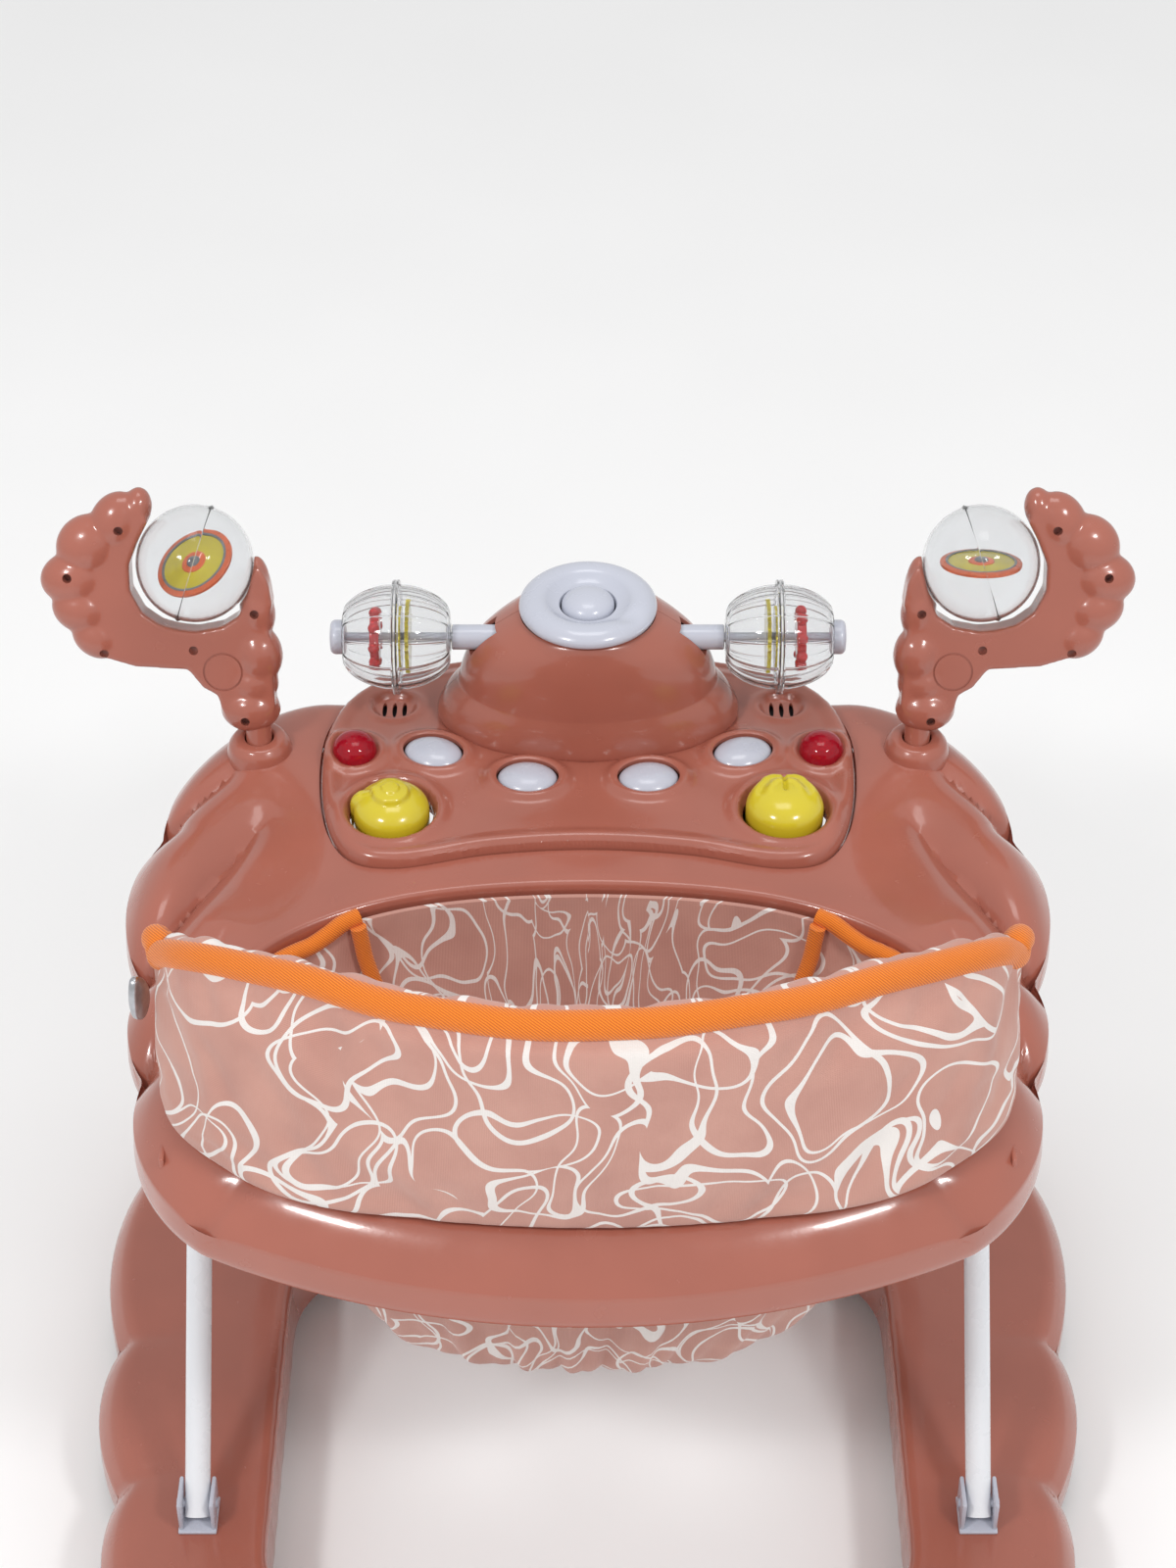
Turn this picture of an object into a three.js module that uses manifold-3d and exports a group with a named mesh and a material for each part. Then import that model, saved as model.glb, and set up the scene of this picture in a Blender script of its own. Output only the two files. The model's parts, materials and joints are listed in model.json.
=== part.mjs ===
// Baby walker: a rolling base, a folding X frame, and an upper tray with a toy panel and a fabric seat.
// Millimetres, +Z up, +Y towards the toys (the front), +X to the right.
// The origin is on the floor, under the middle of the base ring.
import * as THREE from "three";
import { mergeGeometries, mergeVertices } from "three/addons/utils/BufferGeometryUtils.js";
import Module from "manifold-3d";

const wasm = await Module();
wasm.setup();

// ---------------------------------------------------------------- driving dimensions
const GAP = 0.3; // between pieces that touch
const RUN = 0.3; // radial clearance of a pin in its hole
const WALL = 3; // moulded plastic wall
const SIDES = 14; // round plastic details
const SMALL_SIDES = 8; // pins and tubes
const LOBE_STEPS = 4; // straight pieces in each lobe of the tray and base

// Heights that the rest is set from.
const TRAY_TOP = 415;
const BASE_TOP = 66;

// Base ring: an upside-down channel that hides the casters. A lobe runs to its point with this bulge.
const BASE_RIM = 20;
const BASE_LOBES = [
  { to: [308, 165], bulge: 38 },
  { to: [313, 0], bulge: 16 },
  { to: [300, -120], bulge: 13 },
  { to: [225, -285], bulge: 34 },
];
const BASE_FRONT = { at: [180, 300], bulge: 45 };
const BASE_REAR_BULGE = 60;
const BASE_ROUND = 16;
const BASE_OPENING = { x: 200, front: 95, rear: -230, corner: 60 };
const BRAKE_PAD = { x: 70, y: 16, bottom: 8 };
const BRAKE_PAD_INSET = 13;

// Casters: a swivelling fork with a trailing wheel.
const WHEEL_RADIUS = 22;
const WHEEL_WIDTH = 14;
const WHEEL_SIDES = 16;
const AXLE_RADIUS = 2.5;
const CASTER_TRAIL = 14;
const FORK_WALL = 2.6;
const FORK_GAP = 1;
const STEM_RADIUS = 5;
const CASTERS = { front: [170, 215], middle: [257, 0], rear: [120, -281] };

// X frame: two U-shaped tubes, pinned together half way, each 400 mm between its ends' centres.
const LEG = 400;
const TUBE_RADIUS = 8;
const TUBE_WALL = 1.5;
const TUBE_BEND = 90;
const OUTER_TUBE_X = 244;
const INNER_TUBE_X = OUTER_TUBE_X - 2 * TUBE_RADIUS - 2;
const PIVOT_Y = -150;
const LOWER_PIVOT_Z = BASE_TOP + 14;
const UPPER_PIVOT_Z = TRAY_TOP - 42;
const SCISSOR_PIN_RADIUS = 2.5;
const PIVOT_PIN_RADIUS = 3;
const EAR_WALL = 3;
const EAR_HALF = 12;
const EAR_GAP = 1;
const FOLDED_ANGLE = 17.6; // degrees from flat when the walker is stored
const SLOT_PLATE = { x: 142, wall: 5, web: 6, lead: 14 };
const SLOT_PLAY = 0.6;

// Upper tray: a lobed deck with a skirt, and the seat hole.
const TRAY_RIM = TRAY_TOP - 50;
const TRAY_FRONT = { at: [156, 249], bulge: 50 };
const TRAY_LOBES = [
  { to: [268, 129], bulge: 36 },
  { to: [267, 0], bulge: 16 },
  { to: [258, -82], bulge: 9 },
  { to: [214, -198], bulge: 18 },
];
const TRAY_REAR_BULGE = 52;
const TRAY_STEPS = [
  // how the deck rounds down to the skirt: height under the top, distance in from the edge
  { down: 27, inset: 0 },
  { down: 14, inset: 7 },
  { down: 6, inset: 20 },
  { down: 0, inset: 40 },
];
const SEAT_HOLE = [
  [0, 56],
  [80, 50],
  [140, 33],
  [190, 0],
  [215, -45],
  [221, -95],
  [205, -145],
  [150, -185],
  [75, -203],
  [0, -208],
];
const HOLE_LIP = 20;
const COLLAR = { bottom: 20, top: 17, height: 12 };

// Toy panel, let into the tray on a ledge.
const PANEL = [
  [0, 88],
  [60, 83],
  [118, 70],
  [150, 82],
  [166, 130],
  [166, 200],
  [140, 246],
  [80, 270],
  [0, 278],
];
const PANEL_LEDGE = 8;
const PANEL_SINK = 7;
const PANEL_RISE = 6;
const PANEL_WALL = 4;
const BUTTON_TRAVEL = 2.5;
const BUTTON_RISE = 5;
const BUTTON_FLANGE = 1.6;
const BUTTON_PLAY = 0.5;
const WHITE_BUTTON = { x: 19, y: 15 };
const WHITE_BUTTONS = { inner: [38, 147], outer: [98, 172] };
const SHAPED_BUTTON = { radius: 25, rise: 20, at: [122, 117] };
const LAMP = { radius: 14, rise: 13, at: [148, 174] };
const SPEAKER_SLOT = { at: [125, 222], half: [1.6, 9], pitch: 9 };
const BATTERY_BOX = { x: 60, rear: 108, front: 190, height: 24 };
const DOOR_WALL = 2.4;
const BOARD = { left: 66, right: 136, rear: 105, front: 200, wall: 1.6 };
const SPEAKER = { at: [-104, 165], radius: 28, depth: 14 };

// Toy centre: a dome in two shells with a dial on top and an axle through it.
const DOME_Y = 216;
const DOME_SHAPE = [
  // height above the panel, half width, half depth
  [0, 96, 52],
  [12, 93, 51],
  [28, 83, 49],
  [44, 79, 48],
  [60, 68, 46],
  [74, 54, 43],
  [82, 43, 39],
];
const DIAL = { radius: 43.5, height: 8, moat: 4 };
const DIAL_BUTTON = { radius: 17, rise: 3 };
const AXLE_HEIGHT = 66;
const AXLE = { thick: 8, thin: 3, cap: 11, capLength: 7 };
const RATTLE = { x: 121, half: 34, radius: 32, flange: 36, flangeWall: 2, wall: 2 };
const BEAD_DISC = { radius: 15, wall: 5, bead: 4, ring: 19, off: 11 };
const RATCHET = { radius: 23, wall: 2.4, teeth: 12, off: 6 };

// Arms: a hand in two halves on a post that turns in the tray's collar, holding a clear ball.
const ARM_AT = [209, 183];
const ARM_LEAN = 20;
const ARM_HALF = 13;
const POST = { radius: 8.2, down: 22, up: 14 };
const BALL = { out: 36, up: 114, radius: 36.7, wall: 2 };
const BALL_AXIS_TILT = 18;
const BALL_PIN = { radius: 2.5, into: 2.4, out: 8 };
const FACE_DISC = { radius: 25, wall: 2, tab: 5, tabPlay: 2.6 };
const FACE_ROLL = { left: 22, right: 0 };
const FACE_PITCH = { left: 0, right: -17 };
const ARM_OUTLINE = [
  // from the post's axis: outwards, up
  [18, 9],
  [24, 24],
  [42, 45],
  [75, 47],
  [99, 53],
  [113, 68],
  [126, 85],
  [129, 113],
  [119, 131],
  [110, 147],
  [91, 156],
  [72, 161],
  [71, 136],
];
const ARM_POCKET = [
  [34, 52],
  [70, 56],
  [95, 63],
  [112, 84],
  [113, 112],
  [98, 126],
  [90, 116],
  [86, 92],
  [66, 66],
  [40, 60],
];
const ARM_CUT_RADIUS = BALL.radius + 4.3;
const ARM_CUT_FROM = 32; // degrees round the ball, from outwards
const ARM_CUT_TO = -160;
const ARM_INNER = [
  [-5, 115],
  [-12, 103],
  [-13, 89],
  [-10, 76],
  [-18, 62],
  [-15, 38],
  [-15, 20],
  [-6, 8],
];

// Seat: a padded back rest round the rear of the hole, and a sling with two leg holes.
const BACK_PATH = [
  [237, -92],
  [226, -150],
  [165, -197],
  [85, -215],
  [0, -221],
];
const BACK = { wall: 20, end: 84, middle: 158 };
const SLING_LEVELS = [
  // height under the tray's top, share of the hole's width and depth
  [203, 0.5, 0.52],
  [193, 0.6, 0.66],
  [153, 0.7, 0.76],
  [85, 0.84, 0.88],
  [30, 0.95, 0.95],
  [6, 0.975, 0.97],
];
const SLING_WALL = 5;
const SLING_CENTRE_Y = -76;
const LEG_HOLE = { x: 66, y: -20, radius: 46, rise: 44 };
const BUCKLE = { x: 6, y: 16, z: 28, at: [-251, -96], up: 53 };

// Height lever under the tray's front edge.
const LEVER = { x: 106, width: 20, wall: 4, pivotY: 78, front: 136, rear: 44, drop: 14, pin: 2.5 };

// ---------------------------------------------------------------- materials
const plastic = (color, roughness = 0.25) =>
  new THREE.MeshStandardMaterial({ color, roughness, metalness: 0 });
const terracotta = () => plastic(0xb0685c);
const white = () => plastic(0xd8dde6);
const yellow = () => plastic(0xd8ce2a);
const red = () => plastic(0xb0182c);
const clear = () => {
  const made = plastic(0xdcd2dc, 0.08);
  made.transparent = true;
  made.opacity = 0.3;
  return made;
};
const grey = () => plastic(0x3c3d40, 0.6);
const steel = () => new THREE.MeshStandardMaterial({ color: 0xc9ccd0, roughness: 0.3, metalness: 0.9 });
const fabric = () => plastic(0xd08c78, 0.9);

// ---------------------------------------------------------------- solids
// A closed three.js geometry as a solid: shared vertices merged, flat triangles dropped,
// faces turned out.
function solid(geometry) {
  for (const key of Object.keys(geometry.attributes)) {
    if (key !== "position") geometry.deleteAttribute(key);
  }
  const merged = mergeVertices(geometry, 1e-4);
  const index = [];
  for (let i = 0; i < merged.index.count; i += 3) {
    const [a, b, c] = [0, 1, 2].map((k) => merged.index.getX(i + k));
    if (a !== b && b !== c && c !== a) index.push(a, b, c);
  }
  const made = closed(merged.attributes.position.array, index);
  return made.volume() < 0 ? closed(merged.attributes.position.array, index.reverse()) : made;
}

function closed(vertProperties, triVerts) {
  const mesh = new wasm.Mesh({
    numProp: 3,
    vertProperties: new Float32Array(vertProperties),
    triVerts: new Uint32Array(triVerts),
  });
  return new wasm.Manifold(mesh);
}

const join = (...solids) => solids.reduce((a, b) => a.add(b));
const cut = (from, ...tools) => tools.reduce((a, b) => a.subtract(b), from);

// A solid moved by a matrix; a mirroring one keeps the faces outwards.
function moved(made, matrix) {
  return solid(geometryOf(made).applyMatrix4(matrix));
}
const mirrored = (made) => moved(made, new THREE.Matrix4().makeScale(-1, 1, 1));
const shifted = (made, x, y, z) => moved(made, new THREE.Matrix4().makeTranslation(x, y, z));

function geometryOf(made) {
  const { vertProperties, triVerts, numProp } = made.getMesh();
  const position = [];
  for (let i = 0; i < vertProperties.length; i += numProp) {
    position.push(...vertProperties.slice(i, i + 3));
  }
  const geometry = new THREE.BufferGeometry();
  geometry.setAttribute("position", new THREE.Float32BufferAttribute(position, 3));
  geometry.setIndex([...triVerts]);
  return geometry;
}

function block(x0, x1, y0, y1, z0, z1) {
  const geometry = new THREE.BoxGeometry(x1 - x0, y1 - y0, z1 - z0);
  return solid(geometry.translate((x0 + x1) / 2, (y0 + y1) / 2, (z0 + z1) / 2));
}

// The radius of a faceted hole in which a shaft of this radius can turn.
const clearing = (radius, sides = SMALL_SIDES) => radius / Math.cos(Math.PI / sides);

function rod(radius, x, y, z0, z1, { top = radius, sides = SMALL_SIDES } = {}) {
  const geometry = new THREE.CylinderGeometry(top, radius, z1 - z0, sides);
  return solid(geometry.rotateX(Math.PI / 2).translate(x, y, (z0 + z1) / 2));
}

function crossRod(radius, x0, x1, y, z, sides = SMALL_SIDES) {
  const geometry = new THREE.CylinderGeometry(radius, radius, x1 - x0, sides);
  return solid(geometry.rotateZ(Math.PI / 2).translate((x0 + x1) / 2, y, z));
}

// A cylinder between two points.
function strut(radius, from, to, sides = SMALL_SIDES) {
  const a = new THREE.Vector3(...from);
  const b = new THREE.Vector3(...to);
  const along = b.clone().sub(a);
  const geometry = new THREE.CylinderGeometry(radius, radius, along.length(), sides);
  const upright = new THREE.Vector3(0, 1, 0);
  const direction = along.clone().normalize();
  geometry.applyQuaternion(new THREE.Quaternion().setFromUnitVectors(upright, direction));
  const middle = a.add(b).multiplyScalar(0.5);
  return solid(geometry.translate(middle.x, middle.y, middle.z));
}

// A profile of [radius, height] turned about +Z. It starts and ends on the axis, or closes on itself.
function turned(profile, sides = SIDES) {
  const onAxis = profile[0][0] === 0 && profile.at(-1)[0] === 0;
  const loop = onAxis ? profile : [...profile, profile[0]];
  const points = loop.map(([r, h]) => new THREE.Vector2(r, h));
  return solid(new THREE.LatheGeometry(points, sides).rotateX(Math.PI / 2));
}

// Rings of points, all of one length, joined by walls and closed by flat ends.
function loft(rings) {
  const count = rings[0].length;
  const position = rings.flat(2);
  const index = [];
  for (let r = 0; r + 1 < rings.length; r++) {
    for (let i = 0; i < count; i++) {
      const a = r * count + i;
      const b = r * count + ((i + 1) % count);
      index.push(a, b, b + count, a, b + count, a + count);
    }
  }
  const flat = flattened(rings[0]);
  const last = (rings.length - 1) * count;
  for (const [a, b, c] of THREE.ShapeUtils.triangulateShape(flat, [])) {
    index.push(a, c, b, last + a, last + b, last + c);
  }
  const geometry = new THREE.BufferGeometry();
  geometry.setAttribute("position", new THREE.Float32BufferAttribute(position, 3));
  geometry.setIndex(index);
  return solid(geometry);
}

// A planar ring of points as 2-D points, in its own plane.
function flattened(ring) {
  const points = ring.map((p) => new THREE.Vector3(...p));
  const normal = new THREE.Vector3();
  points.forEach((p, i) => normal.add(p.clone().cross(points[(i + 1) % points.length])));
  normal.normalize();
  const u = new THREE.Vector3(1, 0, 0);
  if (Math.abs(normal.x) > 0.9) u.set(0, 1, 0);
  u.addScaledVector(normal, -u.dot(normal)).normalize();
  const v = normal.clone().cross(u);
  return points.map((p) => new THREE.Vector2(p.dot(u), p.dot(v)));
}

// An outline seen from above, stacked at several heights; each level may be drawn in or scaled.
function stack(outline, levels) {
  return loft(
    levels.map(({ z, inset = 0, scale = [1, 1], about = [0, 0] }) =>
      drawnIn(outline, inset).map(([x, y]) => [
        about[0] + (x - about[0]) * scale[0],
        about[1] + (y - about[1]) * scale[1],
        z,
      ]),
    ),
  );
}

// An anticlockwise outline with each point moved inwards (outwards if distance is negative).
function drawnIn(outline, distance) {
  return outline.map(([x, y], i) => {
    const [px, py] = outline.at(i - 1);
    const [nx, ny] = outline[(i + 1) % outline.length];
    const before = new THREE.Vector2(py - y, x - px).normalize();
    const after = new THREE.Vector2(y - ny, nx - x).normalize();
    const normal = before.clone().add(after).normalize();
    const reach = distance / Math.max(normal.dot(before), 0.6);
    return [x + normal.x * reach, y + normal.y * reach];
  });
}

// Points of an arc from a to b that bulges to the left of its way, without its last point.
function arc(a, b, bulge, steps) {
  const from = new THREE.Vector2(...a);
  const along = new THREE.Vector2(...b).sub(from);
  const half = along.length() / 2;
  const middle = from.clone().addScaledVector(along, 0.5);
  along.normalize();
  const out = new THREE.Vector2(-along.y, along.x);
  const radius = (half * half + bulge * bulge) / (2 * bulge);
  const centre = middle.addScaledVector(out, bulge - radius);
  const reach = bulge > radius ? Math.PI - Math.asin(half / radius) : Math.asin(half / radius);
  return Array.from({ length: steps }, (_, i) => {
    const turn = -reach + (2 * reach * i) / steps;
    const point = centre.clone().addScaledVector(along, radius * Math.sin(turn));
    point.addScaledVector(out, radius * Math.cos(turn));
    return [point.x, point.y];
  });
}

// The lobed outline that the tray and the base share, anticlockwise.
function lobed(front, lobes, rearBulge, steps) {
  const points = arc([-front.at[0], front.at[1]], front.at, front.bulge, 2 * steps);
  let here = front.at;
  for (const { to, bulge } of lobes) {
    points.push(...arc(here, to, bulge, steps));
    here = to;
  }
  points.push(...arc(here, [-here[0], here[1]], rearBulge, 2 * steps));
  const left = [front.at, ...lobes.map((lobe) => lobe.to)].reverse();
  left.slice(0, -1).forEach(([x, y], i) => {
    const [nextX, nextY] = left[i + 1];
    points.push(...arc([-x, y], [-nextX, nextY], lobes.at(-1 - i).bulge, steps));
  });
  return points.reverse();
}

// A smooth closed outline through half of its points, given from its middle on the right-hand side.
function smoothLoop(half, steps) {
  const left = half.slice(1, -1).map(([x, y]) => [-x, y]);
  const all = [...half, ...left.reverse()].map(([x, y]) => new THREE.Vector3(x, y, 0));
  const curve = new THREE.CatmullRomCurve3(all, true, "centripetal");
  const points = curve.getPoints(steps).slice(0, -1);
  return anticlockwise(points.map((p) => [p.x, p.y]));
}

function anticlockwise(points) {
  const area = THREE.ShapeUtils.area(points.map(([x, y]) => new THREE.Vector2(x, y)));
  return area < 0 ? points.reverse() : points;
}

function ellipse(halfX, halfY, x, y, turn = 0, steps = SIDES) {
  return Array.from({ length: steps }, (_, i) => {
    const angle = (2 * Math.PI * i) / steps;
    const [u, v] = [halfX * Math.cos(angle), halfY * Math.sin(angle)];
    return [x + u * Math.cos(turn) - v * Math.sin(turn), y + u * Math.sin(turn) + v * Math.cos(turn)];
  });
}

// ---------------------------------------------------------------- the walker
const walker = new THREE.Group();

function put(name, made, material, parent = walker) {
  const mesh = new THREE.Mesh(geometryOf(made), material);
  mesh.name = name;
  parent.add(mesh);
  return mesh;
}

// ---- base ring and brake pads
const baseOutline = lobed(BASE_FRONT, BASE_LOBES, BASE_REAR_BULGE, LOBE_STEPS);

function roundedOpening({ x, front, rear, corner }, grow) {
  const shape = new THREE.Shape();
  const [right, top, bottom, r] = [x + grow, front + grow, rear - grow, corner + grow];
  shape.moveTo(right, bottom + r);
  shape.absarc(right - r, top - r, r, 0, Math.PI / 2);
  shape.absarc(-right + r, top - r, r, Math.PI / 2, Math.PI);
  shape.absarc(-right + r, bottom + r, r, Math.PI, 1.5 * Math.PI);
  shape.absarc(right - r, bottom + r, r, 1.5 * Math.PI, 2 * Math.PI);
  return anticlockwise(shape.getPoints(5).slice(1).map((p) => [p.x, p.y]));
}

function casterPlaces() {
  return Object.entries(CASTERS).flatMap(([row, [x, y]]) => [
    { name: row + "_left", x: -x, y },
    { name: row + "_right", x, y },
  ]);
}

const stemTop = BASE_TOP - WALL - 1;
const forkTop = 2 * WHEEL_RADIUS + FORK_GAP + 1 + 5;

function baseRing() {
  const body = stack(baseOutline, [
    { z: BASE_RIM },
    { z: BASE_TOP - BASE_ROUND },
    { z: BASE_TOP - BASE_ROUND / 3, inset: BASE_ROUND / 3 },
    { z: BASE_TOP, inset: BASE_ROUND },
  ]);
  const hollow = stack(baseOutline, [
    { z: BASE_RIM - 1, inset: WALL },
    { z: BASE_TOP - BASE_ROUND - WALL, inset: WALL },
    { z: BASE_TOP - BASE_ROUND / 3 - WALL, inset: WALL + BASE_ROUND / 3 },
    { z: BASE_TOP - WALL, inset: WALL + BASE_ROUND },
  ]);
  const kept = stack(roundedOpening(BASE_OPENING, WALL), [{ z: 0 }, { z: BASE_TOP }]);
  const opening = stack(roundedOpening(BASE_OPENING, 0), [{ z: 0 }, { z: BASE_TOP + 1 }]);
  let ring = cut(body, cut(hollow, kept), opening);
  for (const { x, y } of casterPlaces()) {
    ring = ring.add(rod(STEM_RADIUS + 5, x, y, forkTop + FORK_GAP, BASE_TOP - 1, { sides: SIDES }));
    ring = cut(ring, rod(clearing(STEM_RADIUS + RUN), x, y, 0, stemTop));
  }
  const plateTop = LOWER_PIVOT_Z + slotHalf + SLOT_PLATE.web;
  for (const side of [-1, 1]) {
    ring = ring.add(slottedPlate(side, LOWER_PIVOT_Z, BASE_TOP - 1, plateTop));
  }
  return ring;
}

// The plates that guide a crossbar as the frame folds.
const unfoldedAngle = Math.asin((UPPER_PIVOT_Z - LOWER_PIVOT_Z) / LEG);
const barY = PIVOT_Y + LEG * Math.cos(unfoldedAngle);
const foldedBarY = PIVOT_Y + LEG * Math.cos(THREE.MathUtils.degToRad(FOLDED_ANGLE));
const slotHalf = TUBE_RADIUS + SLOT_PLAY;

function slottedPlate(side, slotZ, bottom, top) {
  const middle = side * SLOT_PLATE.x;
  const [left, right] = [middle - SLOT_PLATE.wall / 2, middle + SLOT_PLATE.wall / 2];
  const rear = barY - SLOT_PLATE.lead;
  const front = foldedBarY + slotHalf;
  const plate = block(left, right, rear - SLOT_PLATE.web, front + SLOT_PLATE.web / 2, bottom, top);
  return cut(plate, block(left - 1, right + 1, rear, front, slotZ - slotHalf, slotZ + slotHalf));
}

put("base_ring", baseRing(), terracotta());

const frontEdge = BASE_FRONT.at[1] + BASE_FRONT.bulge;
const rearEdge = BASE_LOBES.at(-1).to[1] - BASE_REAR_BULGE;
function brakePad(y) {
  const { x, y: depth, bottom } = BRAKE_PAD;
  return block(-x / 2, x / 2, y - depth / 2, y + depth / 2, bottom, BASE_RIM - GAP);
}
put("brake_pad_front", brakePad(frontEdge - BRAKE_PAD_INSET), grey());
put("brake_pad_rear", brakePad(rearEdge + BRAKE_PAD_INSET), grey());

// ---- casters
function casterFork() {
  const inner = WHEEL_WIDTH / 2 + FORK_GAP;
  const outer = inner + FORK_WALL;
  const tail = CASTER_TRAIL + 5;
  const crown = block(-outer, outer, -STEM_RADIUS - 3, tail, forkTop - 5, forkTop);
  const cheek = block(inner, outer, CASTER_TRAIL - 6, tail, WHEEL_RADIUS - 5, forkTop - 4);
  const axle = crossRod(AXLE_RADIUS, -outer + 1, outer - 1, CASTER_TRAIL, WHEEL_RADIUS);
  const stem = rod(STEM_RADIUS, 0, 0, forkTop - 1, stemTop - GAP);
  return join(crown, cheek, mirrored(cheek), axle, stem);
}

function casterWheel() {
  const half = WHEEL_WIDTH / 2;
  const bore = AXLE_RADIUS + RUN;
  const profile = [
    [bore, -half],
    [WHEEL_RADIUS - 3, -half],
    [WHEEL_RADIUS, -half + 3],
    [WHEEL_RADIUS, half - 3],
    [WHEEL_RADIUS - 3, half],
    [bore, half],
  ];
  const place = new THREE.Matrix4().makeTranslation(0, CASTER_TRAIL, WHEEL_RADIUS);
  const across = new THREE.Matrix4().makeRotationY(Math.PI / 2);
  return moved(turned(profile, WHEEL_SIDES), place.multiply(across));
}

const fork = casterFork();
const wheel = casterWheel();
for (const { name, x, y } of casterPlaces()) {
  // each caster trails to the rear, as when the walker is pushed forwards
  const turn = new THREE.Matrix4().makeRotationZ(Math.PI).setPosition(x, y, 0);
  put("caster_fork_" + name, moved(fork, turn), white());
  put("caster_wheel_" + name, moved(wheel, turn), grey());
}

// ---- folding frame
// A U-shaped tube in its own plane: two legs at +-half, from the pivots at y = 0
// to the crossbar at y = LEG.
function bentTube(half, radius, start) {
  const legEnd = LEG - TUBE_BEND;
  const barHalf = half - TUBE_BEND;
  const pieces = [strut(radius, [-barHalf - 0.5, LEG, 0], [barHalf + 0.5, LEG, 0])];
  for (const side of [-1, 1]) {
    const bend = new THREE.QuadraticBezierCurve3(
      new THREE.Vector3(side * half, legEnd - 0.5, 0),
      new THREE.Vector3(side * half, LEG, 0),
      new THREE.Vector3(side * (barHalf - 0.5), LEG, 0),
    );
    const circle = ellipse(radius, radius, 0, 0, 0, SMALL_SIDES);
    const section = new THREE.Shape(circle.map(([x, y]) => new THREE.Vector2(x, y)));
    const sweep = { extrudePath: bend, steps: 5, curveSegments: 1 };
    pieces.push(solid(new THREE.ExtrudeGeometry(section, sweep)));
    pieces.push(strut(radius, [side * half, start, 0], [side * half, legEnd, 0]));
  }
  return join(...pieces);
}

function frameTube(half, pinRadius) {
  const hollow = bentTube(half, TUBE_RADIUS - TUBE_WALL, -TUBE_RADIUS - 1);
  let tube = cut(bentTube(half, TUBE_RADIUS, -TUBE_RADIUS), hollow);
  const reach = half + TUBE_RADIUS + 1;
  tube = cut(tube, crossRod(pinRadius + RUN, -reach, reach, 0, 0));
  return cut(tube, crossRod(SCISSOR_PIN_RADIUS + RUN, -reach, reach, LEG / 2, 0));
}

const lean = (y, z, angle) =>
  new THREE.Matrix4().makeTranslation(0, y, z).multiply(new THREE.Matrix4().makeRotationX(angle));
const outerPlace = lean(PIVOT_Y, LOWER_PIVOT_Z, unfoldedAngle);
const innerPlace = lean(PIVOT_Y, UPPER_PIVOT_Z, -unfoldedAngle);
put("outer_frame_tube", moved(frameTube(OUTER_TUBE_X, PIVOT_PIN_RADIUS), outerPlace), white());
put("inner_frame_tube", moved(frameTube(INNER_TUBE_X, PIVOT_PIN_RADIUS), innerPlace), white());

const scissorY = (PIVOT_Y + barY) / 2;
const scissorZ = (LOWER_PIVOT_Z + UPPER_PIVOT_Z) / 2;
function scissorPin() {
  const from = INNER_TUBE_X - TUBE_RADIUS - GAP;
  const to = OUTER_TUBE_X + TUBE_RADIUS + GAP;
  const head = 2 * SCISSOR_PIN_RADIUS;
  const piece = (radius, x0, x1) => crossRod(radius, x0, x1, scissorY, scissorZ);
  const shank = piece(SCISSOR_PIN_RADIUS, from - 1, to + 1);
  return join(shank, piece(head, from - 2, from), piece(head, to, to + 2));
}
put("scissor_pin_right", scissorPin(), steel());
put("scissor_pin_left", mirrored(scissorPin()), steel());

// Two ears with a pin between them, for a leg's end at this x.
function ears(x, pivotZ, foot) {
  const inner = TUBE_RADIUS + EAR_GAP;
  const outer = inner + EAR_WALL;
  const [low, high] = foot < pivotZ ? [foot, pivotZ + EAR_HALF - 3] : [pivotZ - EAR_HALF + 3, foot];
  const ear = (side) => {
    const [a, b] = [x + side * inner, x + side * outer].sort((p, q) => p - q);
    return block(a, b, PIVOT_Y - EAR_HALF, PIVOT_Y + EAR_HALF, low, high);
  };
  const pin = crossRod(PIVOT_PIN_RADIUS, x - outer + 1, x + outer - 1, PIVOT_Y, pivotZ);
  return join(ear(-1), ear(1), pin);
}

const bracket = ears(OUTER_TUBE_X, LOWER_PIVOT_Z, BASE_TOP + GAP);
put("frame_bracket_right", bracket, white());
put("frame_bracket_left", mirrored(bracket), white());

// ---- upper tray
const trayOutline = lobed(TRAY_FRONT, TRAY_LOBES, TRAY_REAR_BULGE, LOBE_STEPS);
const holeOutline = smoothLoop(SEAT_HOLE, 28);
const panelOutline = smoothLoop(PANEL, 32);
const armZ = TRAY_TOP + COLLAR.height;
const armFrame = (side) =>
  new THREE.Matrix4()
    .makeTranslation(side * ARM_AT[0], ARM_AT[1], armZ)
    .multiply(new THREE.Matrix4().makeRotationX(-THREE.MathUtils.degToRad(ARM_LEAN)));

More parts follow.
